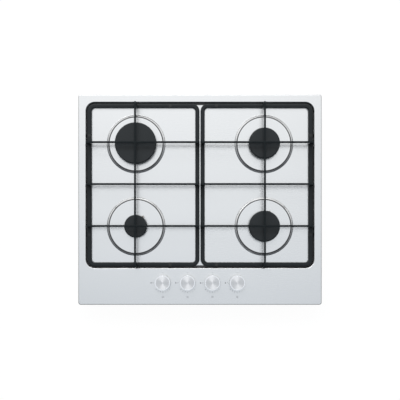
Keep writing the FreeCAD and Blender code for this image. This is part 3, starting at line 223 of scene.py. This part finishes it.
def stretched_place(tree, scale):
    """The point on the piece, stretched by the scale."""
    return add(tree, "ShaderNodeMapping", {
        "Vector": piece_place(tree), "Scale": scale}).outputs["Vector"]


def noise(tree, place, scale, detail=3.0, rough=0.5):
    """Soft patches, as many to the metre as the scale says."""
    return add(tree, "ShaderNodeTexNoise", {
        "Vector": place, "Scale": scale, "Detail": detail, "Roughness": rough}).outputs["Fac"]


def spread(tree, value, low, high, start=0.3, end=0.7):
    """Maps a pattern's usual range to low and high."""
    return add(tree, "ShaderNodeMapRange", {
        "Value": value, "From Min": start, "From Max": end,
        "To Min": low, "To Max": high}).outputs["Result"]


def smooth_step(tree, value, start, end):
    """0 at the start, 1 at the end, with an easy way between them."""
    return add(tree, "ShaderNodeMapRange", {"Value": value, "From Min": start, "From Max": end},
               interpolation_type="SMOOTHSTEP").outputs["Result"]


def tone(tree, value, dark, light, start=0.3, end=0.7):
    """A colour between two, by a pattern."""
    return add(tree, "ShaderNodeMix", {
        "Factor": spread(tree, value, 0, 1, start, end), "A": (*dark, 1), "B": (*light, 1)},
        data_type="RGBA").outputs["Result"]


def relief(tree, shader, height, depth):
    """Bump whose full height is worth a depth in metres."""
    node = add(tree, "ShaderNodeBump", {"Height": height, "Strength": 1.0, "Distance": depth})
    tree.links.new(node.outputs["Normal"], shader.inputs["Normal"])


def dress(material, *names):
    """Gives CAD nodes their finish."""
    for name in names:
        nodes[name].data.materials[0] = material


def middle_of(name):
    """The middle of a CAD node's box."""
    low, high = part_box(name)
    return low.lerp(high, 0.5)


MILLIMETRE = 0.001
PLATE_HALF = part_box("top_plate")[1].xy
PLATE_CORNER = 0.006
# Painted shade: a dark band in the steel's colour along the plate's outer edge, standing in for the
# darker surroundings that its rounding reflects.
EDGE_BAND = (-0.0014, -0.0007)
EDGE_PAINTED_SHADE = 0.62
RECESS_HALF = (0.2765, 0.201)
RECESS_MIDDLE = 0.035
RECESS_CORNER = 0.0215
# Painted shadow: the steel's colour is darkened in the narrow gap between the recess edge and the
# pan supports' frames.
GAP_OUTER = (-0.0006, -0.0016)
GAP_INNER = (-0.0075, -0.0060)
GAP_PAINTED_SHADOW = 0.07
RING_COLUMN = middle_of("burner_cap_front_right").x
RING_ROWS = [middle_of(f"burner_cap_{burner}").y for burner in ("front_right", "rear_right")]
# Painted shade: a thin dark line in the steel's colour at the foot of each burner's ring.
RING_LINE_RADIUS = 0.0654
RING_LINE_WIDTH = 0.0016
RING_LINE_CORE = 0.55
RING_PAINTED_SHADE = 0.08
RING_STEP = (0.0716, 0.0692)
RING_STEP_HEIGHT = 0.5
STEEL = (0.80, 0.81, 0.815)
STEEL_DARK = (0.793, 0.803, 0.808)
STEEL_LIGHT = (0.813, 0.823, 0.829)
STEEL_ROUGHNESS = 0.265
BRUSH_LINES = (28, 2600, 2600)
BRUSH_DETAIL = 4.0
BRUSH_GRIT = 0.6
BRUSH_HEIGHT = 0.0015
BRUSH_ROUGHNESS = (0.258, 0.272)
BRUSH_ANISOTROPY = 0.1
CLOUDS = 7.0
CLOUD_ROUGHNESS = (-0.005, 0.008)


def ring_way(tree):
    """The way from a point on the plate to the nearest burner's axis."""
    split = add(tree, "ShaderNodeSeparateXYZ", {"Vector": piece_place(tree)})
    column = reckon(tree, "ABSOLUTE", split.outputs["X"])
    spot = add(tree, "ShaderNodeCombineXYZ", {"X": column, "Y": split.outputs["Y"]}).outputs[0]
    front, rear = (reckon_point(tree, "DISTANCE", spot, (RING_COLUMN, row, 0), gives="Value")
                   for row in RING_ROWS)
    return reckon(tree, "MINIMUM", front, rear)


def ring_line(tree, way):
    """1 on the thin line at the foot of each burner's ring where shade is painted, and 0 away from
    it.
    """
    off = reckon(tree, "ABSOLUTE", reckon(tree, "SUBTRACT", way, RING_LINE_RADIUS))
    return smooth_step(tree, off, RING_LINE_WIDTH, RING_LINE_WIDTH * RING_LINE_CORE)


def outline_way(tree, half, middle, corner):
    """How far a point lies outside a rounded outline on the plate; less than 0 is inside."""
    from_middle = reckon_point(tree, "SUBTRACT", piece_place(tree), (0, middle, 0))
    folded = reckon_point(tree, "ABSOLUTE", from_middle)
    past = reckon_point(tree, "SUBTRACT", folded, (half[0] - corner, half[1] - corner, 1.0))
    past = reckon_point(tree, "MAXIMUM", past, (0, 0, 0))
    way = reckon_point(tree, "LENGTH", past, gives="Value")
    return reckon(tree, "SUBTRACT", way, corner)


def darkened(tree, mark, darkest):
    """The share of colour kept under painted shade: all of it at 0, and the darkest share at 1."""
    return reckon(tree, "MULTIPLY_ADD", mark, darkest - 1.0, 1.0)


def brushed_steel():
    """Stainless steel with fine brush lines along X, a faint cloudiness, and shade painted at the
    rings' feet, round the frames and along the outer edge.
    """
    material, tree, shader = finish("brushed_steel", STEEL, 1.0, STEEL_ROUGHNESS)
    lines = noise(tree, stretched_place(tree, BRUSH_LINES), 1.0, BRUSH_DETAIL, BRUSH_GRIT)
    clouds = noise(tree, piece_place(tree), CLOUDS, 2.0)
    steel = tone(tree, lines, STEEL_DARK, STEEL_LIGHT)

    # The steel's colour is multiplied by painted shade: the ring line, the frame gap and the outer
    # edge band.
    way = ring_way(tree)
    painted_ring_shade = darkened(tree, ring_line(tree, way), RING_PAINTED_SHADE)
    recess_way = outline_way(tree, RECESS_HALF, RECESS_MIDDLE, RECESS_CORNER)
    gap_shadow_mask = reckon(tree, "MULTIPLY", smooth_step(tree, recess_way, *GAP_INNER),
                 smooth_step(tree, recess_way, *GAP_OUTER))
    plate_way = outline_way(tree, PLATE_HALF, 0.0, PLATE_CORNER)
    painted_edge_shade = darkened(tree, smooth_step(tree, plate_way, *EDGE_BAND), EDGE_PAINTED_SHADE)
    painted_shade = reckon(tree, "MULTIPLY", painted_ring_shade, darkened(tree, gap_shadow_mask, GAP_PAINTED_SHADOW))
    painted_shade = reckon(tree, "MULTIPLY", painted_shade, painted_edge_shade)
    tree.links.new(scaled(tree, steel, painted_shade), shader.inputs["Base Color"])

    rough = reckon(tree, "ADD", spread(tree, lines, *BRUSH_ROUGHNESS),
                   spread(tree, clouds, *CLOUD_ROUGHNESS))
    tree.links.new(rough, shader.inputs["Roughness"])
    shader.inputs["Anisotropic"].default_value = BRUSH_ANISOTROPY
    across_lines = add(tree, "ShaderNodeCombineXYZ", {"X": 0.0, "Y": 1.0, "Z": 0.0})
    tree.links.new(across_lines.outputs[0], shader.inputs["Tangent"])

    height = reckon(tree, "MULTIPLY", smooth_step(tree, way, *RING_STEP), RING_STEP_HEIGHT)
    height = reckon(tree, "MULTIPLY_ADD", lines, BRUSH_HEIGHT, height)
    relief(tree, shader, height, MILLIMETRE)
    return material


dress(brushed_steel(), "top_plate")


# ---------------------------------------------------------------------- knob scales
# Dark grey stove ink, screen printed on the plate: round each knob an off dot, a spark, a
# flame, a scale of fading strokes, and a small plan of the burners with its own one filled.

KNOBS = 4
KNOB_PITCH = 0.060
RAYS = 6
PLAN_BURNERS = 4
MIDDLE_BURNER = 1.5
SCALE_SIZES = {
    "Knobs": KNOBS, "Knob Pitch": KNOB_PITCH, "Thickness": 0.00008,
    "Off Dot Way": 0.0240, "Off Dot": 0.0008,
    "Spark Way": 0.0235, "Ray Start": 0.0012, "Ray Length": 0.0014, "Ray Width": 0.00035,
    "Flame Way": 0.0285, "Flame Height": 0.0042,
    "Strokes": 7, "Stroke Way": 0.0232, "First Stroke": 0.0032, "Last Stroke": 0.0014,
    "Stroke Width": 0.0008,
    "Plan Way": 0.0345, "Plan Pitch": 0.0026, "Plan Dot": 0.0008, "Plan Line": 0.0003}
SCALE_START = math.radians(225)
SCALE_SWEEP = math.radians(90)
DOT_SIDES = 20
FLAME_SIDES = 24
FLAME_WAIST = 0.36
FLAME_TAPER = 0.7
RING_FLATNESS = 0.27
KNOB_ROW = middle_of("knob_1").y
INK_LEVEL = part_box("top_plate")[1].z + SCALE_SIZES["Thickness"] / 2


def mottled(name, colour, dark, light, patches, grain, depth, metallic=0.0, roughness=0.5,
            patch_detail=3.0, grain_detail=3.0, grain_stretch=(1, 1, 1),
            rough_range=None, rough_patches=None):
    """A finish with darker and lighter patches, a fine grain and, if asked, uneven gloss.

    Patches and grain are counted to the metre; the grain's depth is in metres.
    """
    material, tree, shader = finish(name, colour, metallic, roughness)
    place = piece_place(tree)
    tree.links.new(tone(tree, noise(tree, place, patches, patch_detail), dark, light),
                   shader.inputs["Base Color"])
    if rough_range:
        tree.links.new(spread(tree, noise(tree, place, rough_patches), *rough_range),
                       shader.inputs["Roughness"])
    grains = noise(tree, stretched_place(tree, grain_stretch), grain, grain_detail)
    relief(tree, shader, grains, depth)
    return material


def growing_tree(name, sizes):
    """A Geometry Nodes tree whose named inputs are the sizes, and the sockets that give them."""
    tree = bpy.data.node_groups.new(name, "GeometryNodeTree")
    for size, value in sizes.items():
        kind = "NodeSocketInt" if isinstance(value, int) else "NodeSocketFloat"
        tree.interface.new_socket(size, in_out="INPUT", socket_type=kind)
    tree.interface.new_socket("Mesh", in_out="OUTPUT", socket_type="NodeSocketGeometry")
    return tree, add(tree, "NodeGroupInput").outputs


def grow(name, tree, parts, material, sizes):
    """Ends the tree, runs it once and keeps the plain mesh that it makes."""
    joined = add(tree, "GeometryNodeJoinGeometry")
    for part in parts:
        tree.links.new(part, joined.inputs[0])
    plain = add(tree, "GeometryNodeRealizeInstances", {"Geometry": joined.outputs[0]})
    finished = add(tree, "GeometryNodeSetMaterial", {
        "Geometry": plain.outputs[0], "Material": material})
    add(tree, "NodeGroupOutput", {"Mesh": finished.outputs[0]})
    piece = bpy.data.objects.new(name, bpy.data.meshes.new(name))
    bpy.context.scene.collection.objects.link(piece)
    modifier = piece.modifiers.new(name, "NODES")
    modifier.node_group = tree
    for socket in tree.interface.items_tree:
        if socket.in_out == "INPUT":
            modifier[socket.identifier] = sizes[socket.name]
    grown = piece.evaluated_get(bpy.context.evaluated_depsgraph_get())
    mesh = bpy.data.meshes.new_from_object(grown)
    piece.modifiers.clear()
    piece.data = mesh
    return piece


scale_tree, given = growing_tree("knob_scale_print", SCALE_SIZES)
ink_depth = given["Thickness"]
number = add(scale_tree, "GeometryNodeInputIndex").outputs[0]
bar = add(scale_tree, "GeometryNodeMeshCube", {"Size": (1, 1, 1)}).outputs[0]


def work_out(operation, *values):
    """One step of arithmetic in the print's tree."""
    return reckon(scale_tree, operation, *values)


def point_at(x, y, z=0.0):
    """A point in the print's tree."""
    return add(scale_tree, "ShaderNodeCombineXYZ", {"X": x, "Y": y, "Z": z}).outputs[0]


def round_spots(turn, way, x=0.0, y=0.0):
    """Spots at a way from a centre, each at its own turn."""
    across = work_out("MULTIPLY_ADD", work_out("COSINE", turn), way, x)
    up = work_out("MULTIPLY_ADD", work_out("SINE", turn), way, y)
    return point_at(across, up)


def set_out(count, spots, shape, rotation=(0, 0, 0), scale=(1, 1, 1), chosen=True):
    """Copies of a shape at as many spots as the count says."""
    line = add(scale_tree, "GeometryNodeMeshLine", {"Count": count, "Offset": (0, 0, 0)})
    placed = add(scale_tree, "GeometryNodeSetPosition", {
        "Geometry": line.outputs[0], "Position": spots})
    return add(scale_tree, "GeometryNodeInstanceOnPoints", {
        "Points": placed.outputs[0], "Instance": shape, "Selection": chosen,
        "Rotation": rotation, "Scale": scale}).outputs[0]


def print_dot(radius, sides):
    """A flat round dot of ink."""
    return add(scale_tree, "GeometryNodeMeshCylinder", {
        "Vertices": sides, "Radius": radius, "Depth": ink_depth}).outputs[0]


def moved(shape, place):
    """The shape, shifted to its place."""
    return add(scale_tree, "GeometryNodeTransform", {
        "Geometry": shape, "Translation": place}).outputs[0]


def knob_column(knob):
    """Where along X the knob stands, counted from the left."""
    middle = work_out("MULTIPLY_ADD", given["Knobs"], -0.5, 0.5)
    from_middle = work_out("ADD", knob, middle)
    return work_out("MULTIPLY", from_middle, given["Knob Pitch"])


off_dot = moved(print_dot(given["Off Dot"], DOT_SIDES), point_at(0.0, given["Off Dot Way"]))

ray_turn = work_out("MULTIPLY", number, 2 * math.pi / RAYS)
spark_row = work_out("MULTIPLY", given["Spark Way"], -1.0)
spark = set_out(RAYS, round_spots(ray_turn, given["Ray Start"], spark_row), bar,
                point_at(0.0, 0.0, ray_turn),
                point_at(given["Ray Length"], given["Ray Width"], ink_depth))

spot = add(scale_tree, "ShaderNodeSeparateXYZ", {
    "Vector": add(scale_tree, "GeometryNodeInputPosition").outputs[0]}).outputs
below_tip = work_out("MULTIPLY_ADD", spot["Y"], -0.5, 0.5)
waist = work_out("MULTIPLY", work_out("POWER", below_tip, FLAME_TAPER), FLAME_WAIST)
flame_x = work_out("MULTIPLY", spot["X"], work_out("MULTIPLY", waist, given["Flame Height"]))
flame_y = work_out("MULTIPLY", work_out("MULTIPLY", spot["Y"], 0.5), given["Flame Height"])
flame = add(scale_tree, "GeometryNodeSetPosition", {
    "Geometry": print_dot(1.0, FLAME_SIDES), "Position": point_at(flame_x, flame_y, spot["Z"])})
flame_column = work_out("MULTIPLY", given["Flame Way"], -1.0)
flame = moved(flame.outputs[0], point_at(flame_column, 0.0))

last_stroke = work_out("SUBTRACT", given["Strokes"], 1.0)
along = work_out("DIVIDE", number, last_stroke)
stroke_turn = work_out("MULTIPLY_ADD", along, SCALE_SWEEP, SCALE_START)
shrink = work_out("SUBTRACT", given["Last Stroke"], given["First Stroke"])
stroke_length = work_out("MULTIPLY_ADD", along, shrink, given["First Stroke"])
strokes = set_out(given["Strokes"], round_spots(stroke_turn, given["Stroke Way"]), bar,
                  point_at(0.0, 0.0, stroke_turn),
                  point_at(stroke_length, given["Stroke Width"], ink_depth))

one_scale = add(scale_tree, "GeometryNodeJoinGeometry")
for mark in (off_dot, spark, flame, strokes):
    scale_tree.links.new(mark, one_scale.inputs[0])
scale_spots = point_at(knob_column(number), KNOB_ROW, INK_LEVEL)
scales = set_out(given["Knobs"], scale_spots, one_scale.outputs[0])

knob = work_out("FLOOR", work_out("MULTIPLY", number, 1 / PLAN_BURNERS))
burner_number = work_out("MULTIPLY_ADD", knob, -PLAN_BURNERS, number)
right_half = work_out("GREATER_THAN", burner_number, MIDDLE_BURNER)
from_rear = work_out("ABSOLUTE", work_out("SUBTRACT", burner_number, MIDDLE_BURNER))
plan_column = work_out("MULTIPLY_ADD", right_half, 1.0, -0.5)
plan_row = work_out("MULTIPLY_ADD", from_rear, -1.0, 1.0)
plan_middle = work_out("SUBTRACT", KNOB_ROW, given["Plan Way"])
plan_spots = point_at(
    work_out("MULTIPLY_ADD", plan_column, given["Plan Pitch"], knob_column(knob)),
    work_out("MULTIPLY_ADD", plan_row, given["Plan Pitch"], plan_middle), INK_LEVEL)
plan_count = work_out("MULTIPLY", given["Knobs"], PLAN_BURNERS)
own = add(scale_tree, "FunctionNodeCompare", {0: burner_number, 1: knob, "Epsilon": 0.1},
          operation="EQUAL").outputs[0]
others = add(scale_tree, "FunctionNodeBooleanMath", {0: own}, operation="NOT").outputs[0]
own_dots = set_out(plan_count, plan_spots, print_dot(given["Plan Dot"], DOT_SIDES), chosen=own)
circle = add(scale_tree, "GeometryNodeCurvePrimitiveCircle", {
    "Resolution": DOT_SIDES, "Radius": given["Plan Dot"]}).outputs[0]
line_section = add(scale_tree, "GeometryNodeCurvePrimitiveQuadrilateral", {
    "Width": given["Plan Line"], "Height": given["Plan Line"]}).outputs[0]
ring = add(scale_tree, "GeometryNodeCurveToMesh", {
    "Curve": circle, "Profile Curve": line_section}).outputs[0]
flat_ring = add(scale_tree, "GeometryNodeTransform", {
    "Geometry": ring, "Scale": (1, 1, RING_FLATNESS)}).outputs[0]
other_rings = set_out(plan_count, plan_spots, flat_ring, chosen=others)

PRINTING_INK = mottled(
    "printing_ink", (0.12, 0.125, 0.13), dark=(0.10, 0.105, 0.11), light=(0.15, 0.155, 0.16),
    patches=2400.0, grain=2400.0, depth=0.000004, roughness=0.55)
knob_scales = grow("knob_scales", scale_tree, (scales, own_dots, other_rings), PRINTING_INK,
                   SCALE_SIZES)
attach(knob_scales, "cooktop")


# ---------------------------------------------------- burner bases and their injectors
# Die-cast aluminium cups that hang through the plate by a flange, each held by two plated steel
# screws. A turned brass injector is screwed into the holder under each.

BURNERS = ("front_left", "rear_left", "rear_right", "front_right")

CAST_ALUMINIUM = mottled(
    "cast_aluminium", (0.58, 0.585, 0.59), dark=(0.50, 0.505, 0.51), light=(0.64, 0.64, 0.645),
    patches=120.0, patch_detail=4.0, grain=1500.0, grain_detail=4.0, depth=0.00005,
    metallic=1.0, roughness=0.5, rough_range=(0.42, 0.6), rough_patches=500.0)
ZINC_PLATE = mottled(
    "zinc_plate", (0.70, 0.71, 0.715), dark=(0.62, 0.63, 0.645), light=(0.76, 0.765, 0.76),
    patches=160.0, patch_detail=4.0, grain=1600.0, depth=0.00001,
    metallic=1.0, roughness=0.33, rough_range=(0.26, 0.42), rough_patches=900.0)
BRASS = mottled(
    "brass", (0.72, 0.56, 0.28), dark=(0.63, 0.48, 0.23), light=(0.78, 0.62, 0.33),
    patches=140.0, patch_detail=4.0, grain=600.0, grain_stretch=(1, 1, 9), depth=0.00001,
    metallic=1.0, roughness=0.32, rough_range=(0.26, 0.42), rough_patches=700.0)
dress(CAST_ALUMINIUM, *(f"burner_base_{burner}" for burner in BURNERS))
dress(ZINC_PLATE, "burner_screws")
dress(BRASS, "burner_injectors")


# ----------------------------------------------------------- gas rail, taps and tubes
# A bent zinc-coated steel tube on three saddles under the plate feeds four cast aluminium taps,
# each with a brass plug, a plated cover and a plated spindle. Aluminium tubes with brass nuts
# lead from the taps to the burners, and a brass elbow is the inlet.

ZINC_CRYSTALS = 110.0
ZINC_ROUGHNESS = (0.34, 0.52)
ZINC_WARP = 90.0


def galvanised():
    """Zinc coating with its flat crystals, each a little lighter or darker than the next."""
    material, tree, shader = finish("galvanised", (0.62, 0.64, 0.655), 1.0, 0.42)
    place = piece_place(tree)
    crystals = add(tree, "ShaderNodeTexVoronoi", {"Vector": place, "Scale": ZINC_CRYSTALS})
    tint = add(tree, "ShaderNodeSeparateColor", {"Color": crystals.outputs["Color"]}).outputs["Red"]
    tree.links.new(tone(tree, tint, (0.56, 0.58, 0.60), (0.68, 0.70, 0.71), 0.0, 1.0),
                   shader.inputs["Base Color"])
    tree.links.new(spread(tree, tint, *ZINC_ROUGHNESS, 0.0, 1.0), shader.inputs["Roughness"])
    relief(tree, shader, noise(tree, place, 260.0), 0.00003)
    return material


GALVANISED = galvanised()
dress(GALVANISED, "gas_rail", "rail_saddles")
dress(CAST_ALUMINIUM, "valve_bodies", "gas_supply_tubes")
dress(ZINC_PLATE, "valve_covers", *(name for name in nodes if name.startswith("valve_spindle_")))
dress(BRASS, "inlet_elbow", "tube_nuts", *(name for name in nodes if name.startswith("valve_plug_")))


# ------------------------------------------------- ignition, flame sensors and wiring
# A glazed ceramic tube with a steel pin sparks at each burner, fed through silicone leads from
# a moulded generator. A copper thermocouple beside it keeps its tap open while there is a flame.

def rubber(name, colour):
    """Rubber or silicone, a little paler where it is dusty."""
    light = tuple(part * 1.5 for part in colour)
    return mottled(name, colour, dark=colour, light=light,
                   patches=400.0, grain=2200.0, depth=0.00003, roughness=0.7)


def moulded_plastic(name, colour, grain):
    """Plastic with the fine eroded grain of its mould."""
    light = tuple(min(1.0, part * 1.08 + 0.004) for part in colour)
    return mottled(name, colour, dark=colour, light=light, patches=220.0, grain=grain, depth=0.00004)


GLAZED_CERAMIC = mottled(
    "glazed_ceramic", (0.86, 0.84, 0.79), dark=(0.82, 0.80, 0.75), light=(0.89, 0.875, 0.83),
    patches=500.0, grain=300.0, depth=0.00003, roughness=0.18)
GLAZED_CERAMIC.node_tree.nodes["Principled BSDF"].inputs["Coat Weight"].default_value = 0.4
HEAT_DARKENED_STEEL = mottled(
    "heat_darkened_steel", (0.20, 0.19, 0.19), dark=(0.15, 0.14, 0.15), light=(0.30, 0.26, 0.23),
    patches=300.0, grain=1800.0, depth=0.00002, metallic=1.0, roughness=0.4)
COPPER = mottled(
    "copper", (0.68, 0.38, 0.26), dark=(0.50, 0.28, 0.20), light=(0.76, 0.46, 0.33),
    patches=90.0, patch_detail=4.0, grain=1500.0, depth=0.00001, metallic=1.0, roughness=0.36)
WHITE_PLASTIC = moulded_plastic("white_plastic", (0.78, 0.78, 0.75), 1200.0)
dress(GLAZED_CERAMIC, "electrode_ceramics")
dress(HEAT_DARKENED_STEEL, "electrode_pins")
dress(COPPER, "thermocouples")
dress(WHITE_PLASTIC, "spark_generator")
dress(rubber("silicone", (0.42, 0.40, 0.37)), "ignition_leads")


# ------------------------------------------------------------ bottom tray and fixings
# Folded zinc-coated sheet with pressed vents closes the underside; welded studs and flange nuts
# hold it under the plate. The mains terminals and their black gland sit in its rear.

dress(GALVANISED, "bottom_tray")
dress(ZINC_PLATE, "plate_studs", "flange_nuts")
dress(WHITE_PLASTIC, "terminal_block")
dress(moulded_plastic("black_plastic", (0.03, 0.03, 0.032), 1600.0), "cable_gland")


# ------------------------------------------------------- rim seal and worktop clamps
# A strip of closed-cell foam stuck under the rim seals the plate on the worktop. Four zinc-
# plated clamps swing out under the worktop and are drawn up by long screws.

FOAM_CELLS = 1400.0


def foam():
    """Dark foam, whose cells show as fine pits."""
    material, tree, shader = finish("foam", (0.10, 0.10, 0.105), 0.0, 0.85)
    place = piece_place(tree)
    cells = add(tree, "ShaderNodeTexVoronoi", {
        "Vector": place, "Scale": FOAM_CELLS}).outputs["Distance"]
    tree.links.new(tone(tree, noise(tree, place, 300.0), (0.085, 0.085, 0.09), (0.13, 0.13, 0.135)),
                   shader.inputs["Base Color"])
    relief(tree, shader, cells, 0.00015)
    return material


dress(foam(), "rim_seal")
dress(ZINC_PLATE, "clamp_screws", *(name for name in nodes if name.startswith("worktop_clamp_")))


# ------------------------------------------------------------- burner crowns and caps
# Cast aluminium crowns with milled flame ports rest on the bases, and on each lies a pressed
# steel cap in black enamel. Both lift off for cleaning.

ENAMEL_SPECK_LIGHT = 0.012
ENAMEL_ROUGHNESS = (0.34, 0.46)


def black_enamel(name, colour, shine):
    """Fired enamel: a faint orange peel and tiny lighter specks in a nearly black ground."""
    material, tree, shader = finish(name, colour, 0.0, 0.4)
    place = piece_place(tree)
    specks = noise(tree, place, 1900.0, 2.0)
    light = tuple(part + ENAMEL_SPECK_LIGHT for part in colour)
    tree.links.new(tone(tree, specks, colour, light, 0.45, 0.75), shader.inputs["Base Color"])
    tree.links.new(spread(tree, noise(tree, place, 60.0), *ENAMEL_ROUGHNESS),
                   shader.inputs["Roughness"])
    shader.inputs["Specular IOR Level"].default_value = shine
    relief(tree, shader, noise(tree, place, 420.0), 0.00006)
    return material


dress(CAST_ALUMINIUM, *(f"burner_crown_{burner}" for burner in BURNERS))
dress(black_enamel("cap_enamel", (0.011, 0.0155, 0.0185), shine=0.36),
      *(f"burner_cap_{burner}" for burner in BURNERS))


# ------------------------------------------------------------------ knobs and seals
# Turned from aluminium bar: a spun face with fine rings, a bright bevel and an index notch.
# Each is pushed on its tap's spindle, over a rubber seal in the plate's hole.

POLISHED_RADIUS = 0.0158
POLISHED_EDGE = 0.0185
POLISHED_START = 0.0003
POLISH = 0.24
BEVEL_FALL = 0.9
TURNED_RINGS = 2600.0
TURNED_ROUGHNESS = (0.34, 0.40)
TURNED_HEIGHT = 0.004
TURNED_ANISOTROPY = 0.85


def turned_aluminium():
    """Fine rings round each knob's axis; the knobs repeat along X, so one material serves all."""
    material, tree, shader = finish("turned_aluminium", (0.88, 0.885, 0.895), 1.0, 0.36)
    split = add(tree, "ShaderNodeSeparateXYZ", {"Vector": piece_place(tree)})
    column = reckon(tree, "WRAP", split.outputs["X"], KNOB_PITCH, 0.0)
    column = reckon(tree, "SUBTRACT", column, KNOB_PITCH / 2)
    row = reckon(tree, "SUBTRACT", split.outputs["Y"], KNOB_ROW)
    flat = add(tree, "ShaderNodeCombineXYZ", {"X": column, "Y": row, "Z": 0.0}).outputs[0]
    radius = reckon_point(tree, "LENGTH", flat, gives="Value")
    line = add(tree, "ShaderNodeCombineXYZ", {"X": radius, "Y": 0.0, "Z": 0.0}).outputs[0]
    rings = noise(tree, line, TURNED_RINGS, 2.0)
    tree.links.new(tone(tree, rings, (0.84, 0.845, 0.855), (0.915, 0.92, 0.93)),
                   shader.inputs["Base Color"])

    polished = spread(tree, radius, 0.0, POLISH, POLISHED_RADIUS, POLISHED_RADIUS + POLISHED_START)
    rough = reckon(tree, "SUBTRACT", spread(tree, rings, *TURNED_ROUGHNESS), polished)
    tree.links.new(rough, shader.inputs["Roughness"])

    shader.inputs["Anisotropic"].default_value = TURNED_ANISOTROPY
    outward = add(tree, "ShaderNodeVectorTransform", {"Vector": flat},
                  vector_type="VECTOR", convert_from="OBJECT", convert_to="WORLD").outputs[0]
    around_axis = reckon_point(tree, "CROSS_PRODUCT", (0, 0, 1), outward)
    facing = add(tree, "ShaderNodeNewGeometry").outputs["Normal"]
    across_rings = reckon_point(tree, "CROSS_PRODUCT", facing, around_axis)
    across_rings = reckon_point(tree, "NORMALIZE", across_rings)
    tree.links.new(across_rings, shader.inputs["Tangent"])

    levelled = spread(tree, radius, 0.0, BEVEL_FALL, POLISHED_RADIUS, POLISHED_EDGE)
    height = reckon(tree, "MULTIPLY_ADD", rings, TURNED_HEIGHT, levelled)
    relief(tree, shader, height, MILLIMETRE)
    return material


RUBBER = rubber("rubber", (0.022, 0.023, 0.024))
dress(turned_aluminium(), *(f"knob_{number}" for number in range(1, KNOBS + 1)))
dress(RUBBER, "knob_seals")


# --------------------------------------------------------------------- pan supports
# Steel frames with bars welded across them, fired in black enamel. Each stands in the recess
# on four rubber feet, whose heads sit in the frame.

FRAME_ENAMEL = black_enamel("frame_enamel", (0.010, 0.014, 0.0165), shine=0.28)
BAR_ENAMEL = black_enamel("bar_enamel", (0.012, 0.0165, 0.019), shine=0.10)
for side in ("left", "right"):
    dress(FRAME_ENAMEL, f"pan_support_{side}_frame")
    dress(BAR_ENAMEL, f"pan_support_{side}_long_bar", f"pan_support_{side}_cross_bars")
    dress(RUBBER, f"pan_support_{side}_feet")


# ---------------------------------------------------------------------- finishing
# The render's plain colour view.

bpy.context.scene.view_settings.view_transform = "Standard"
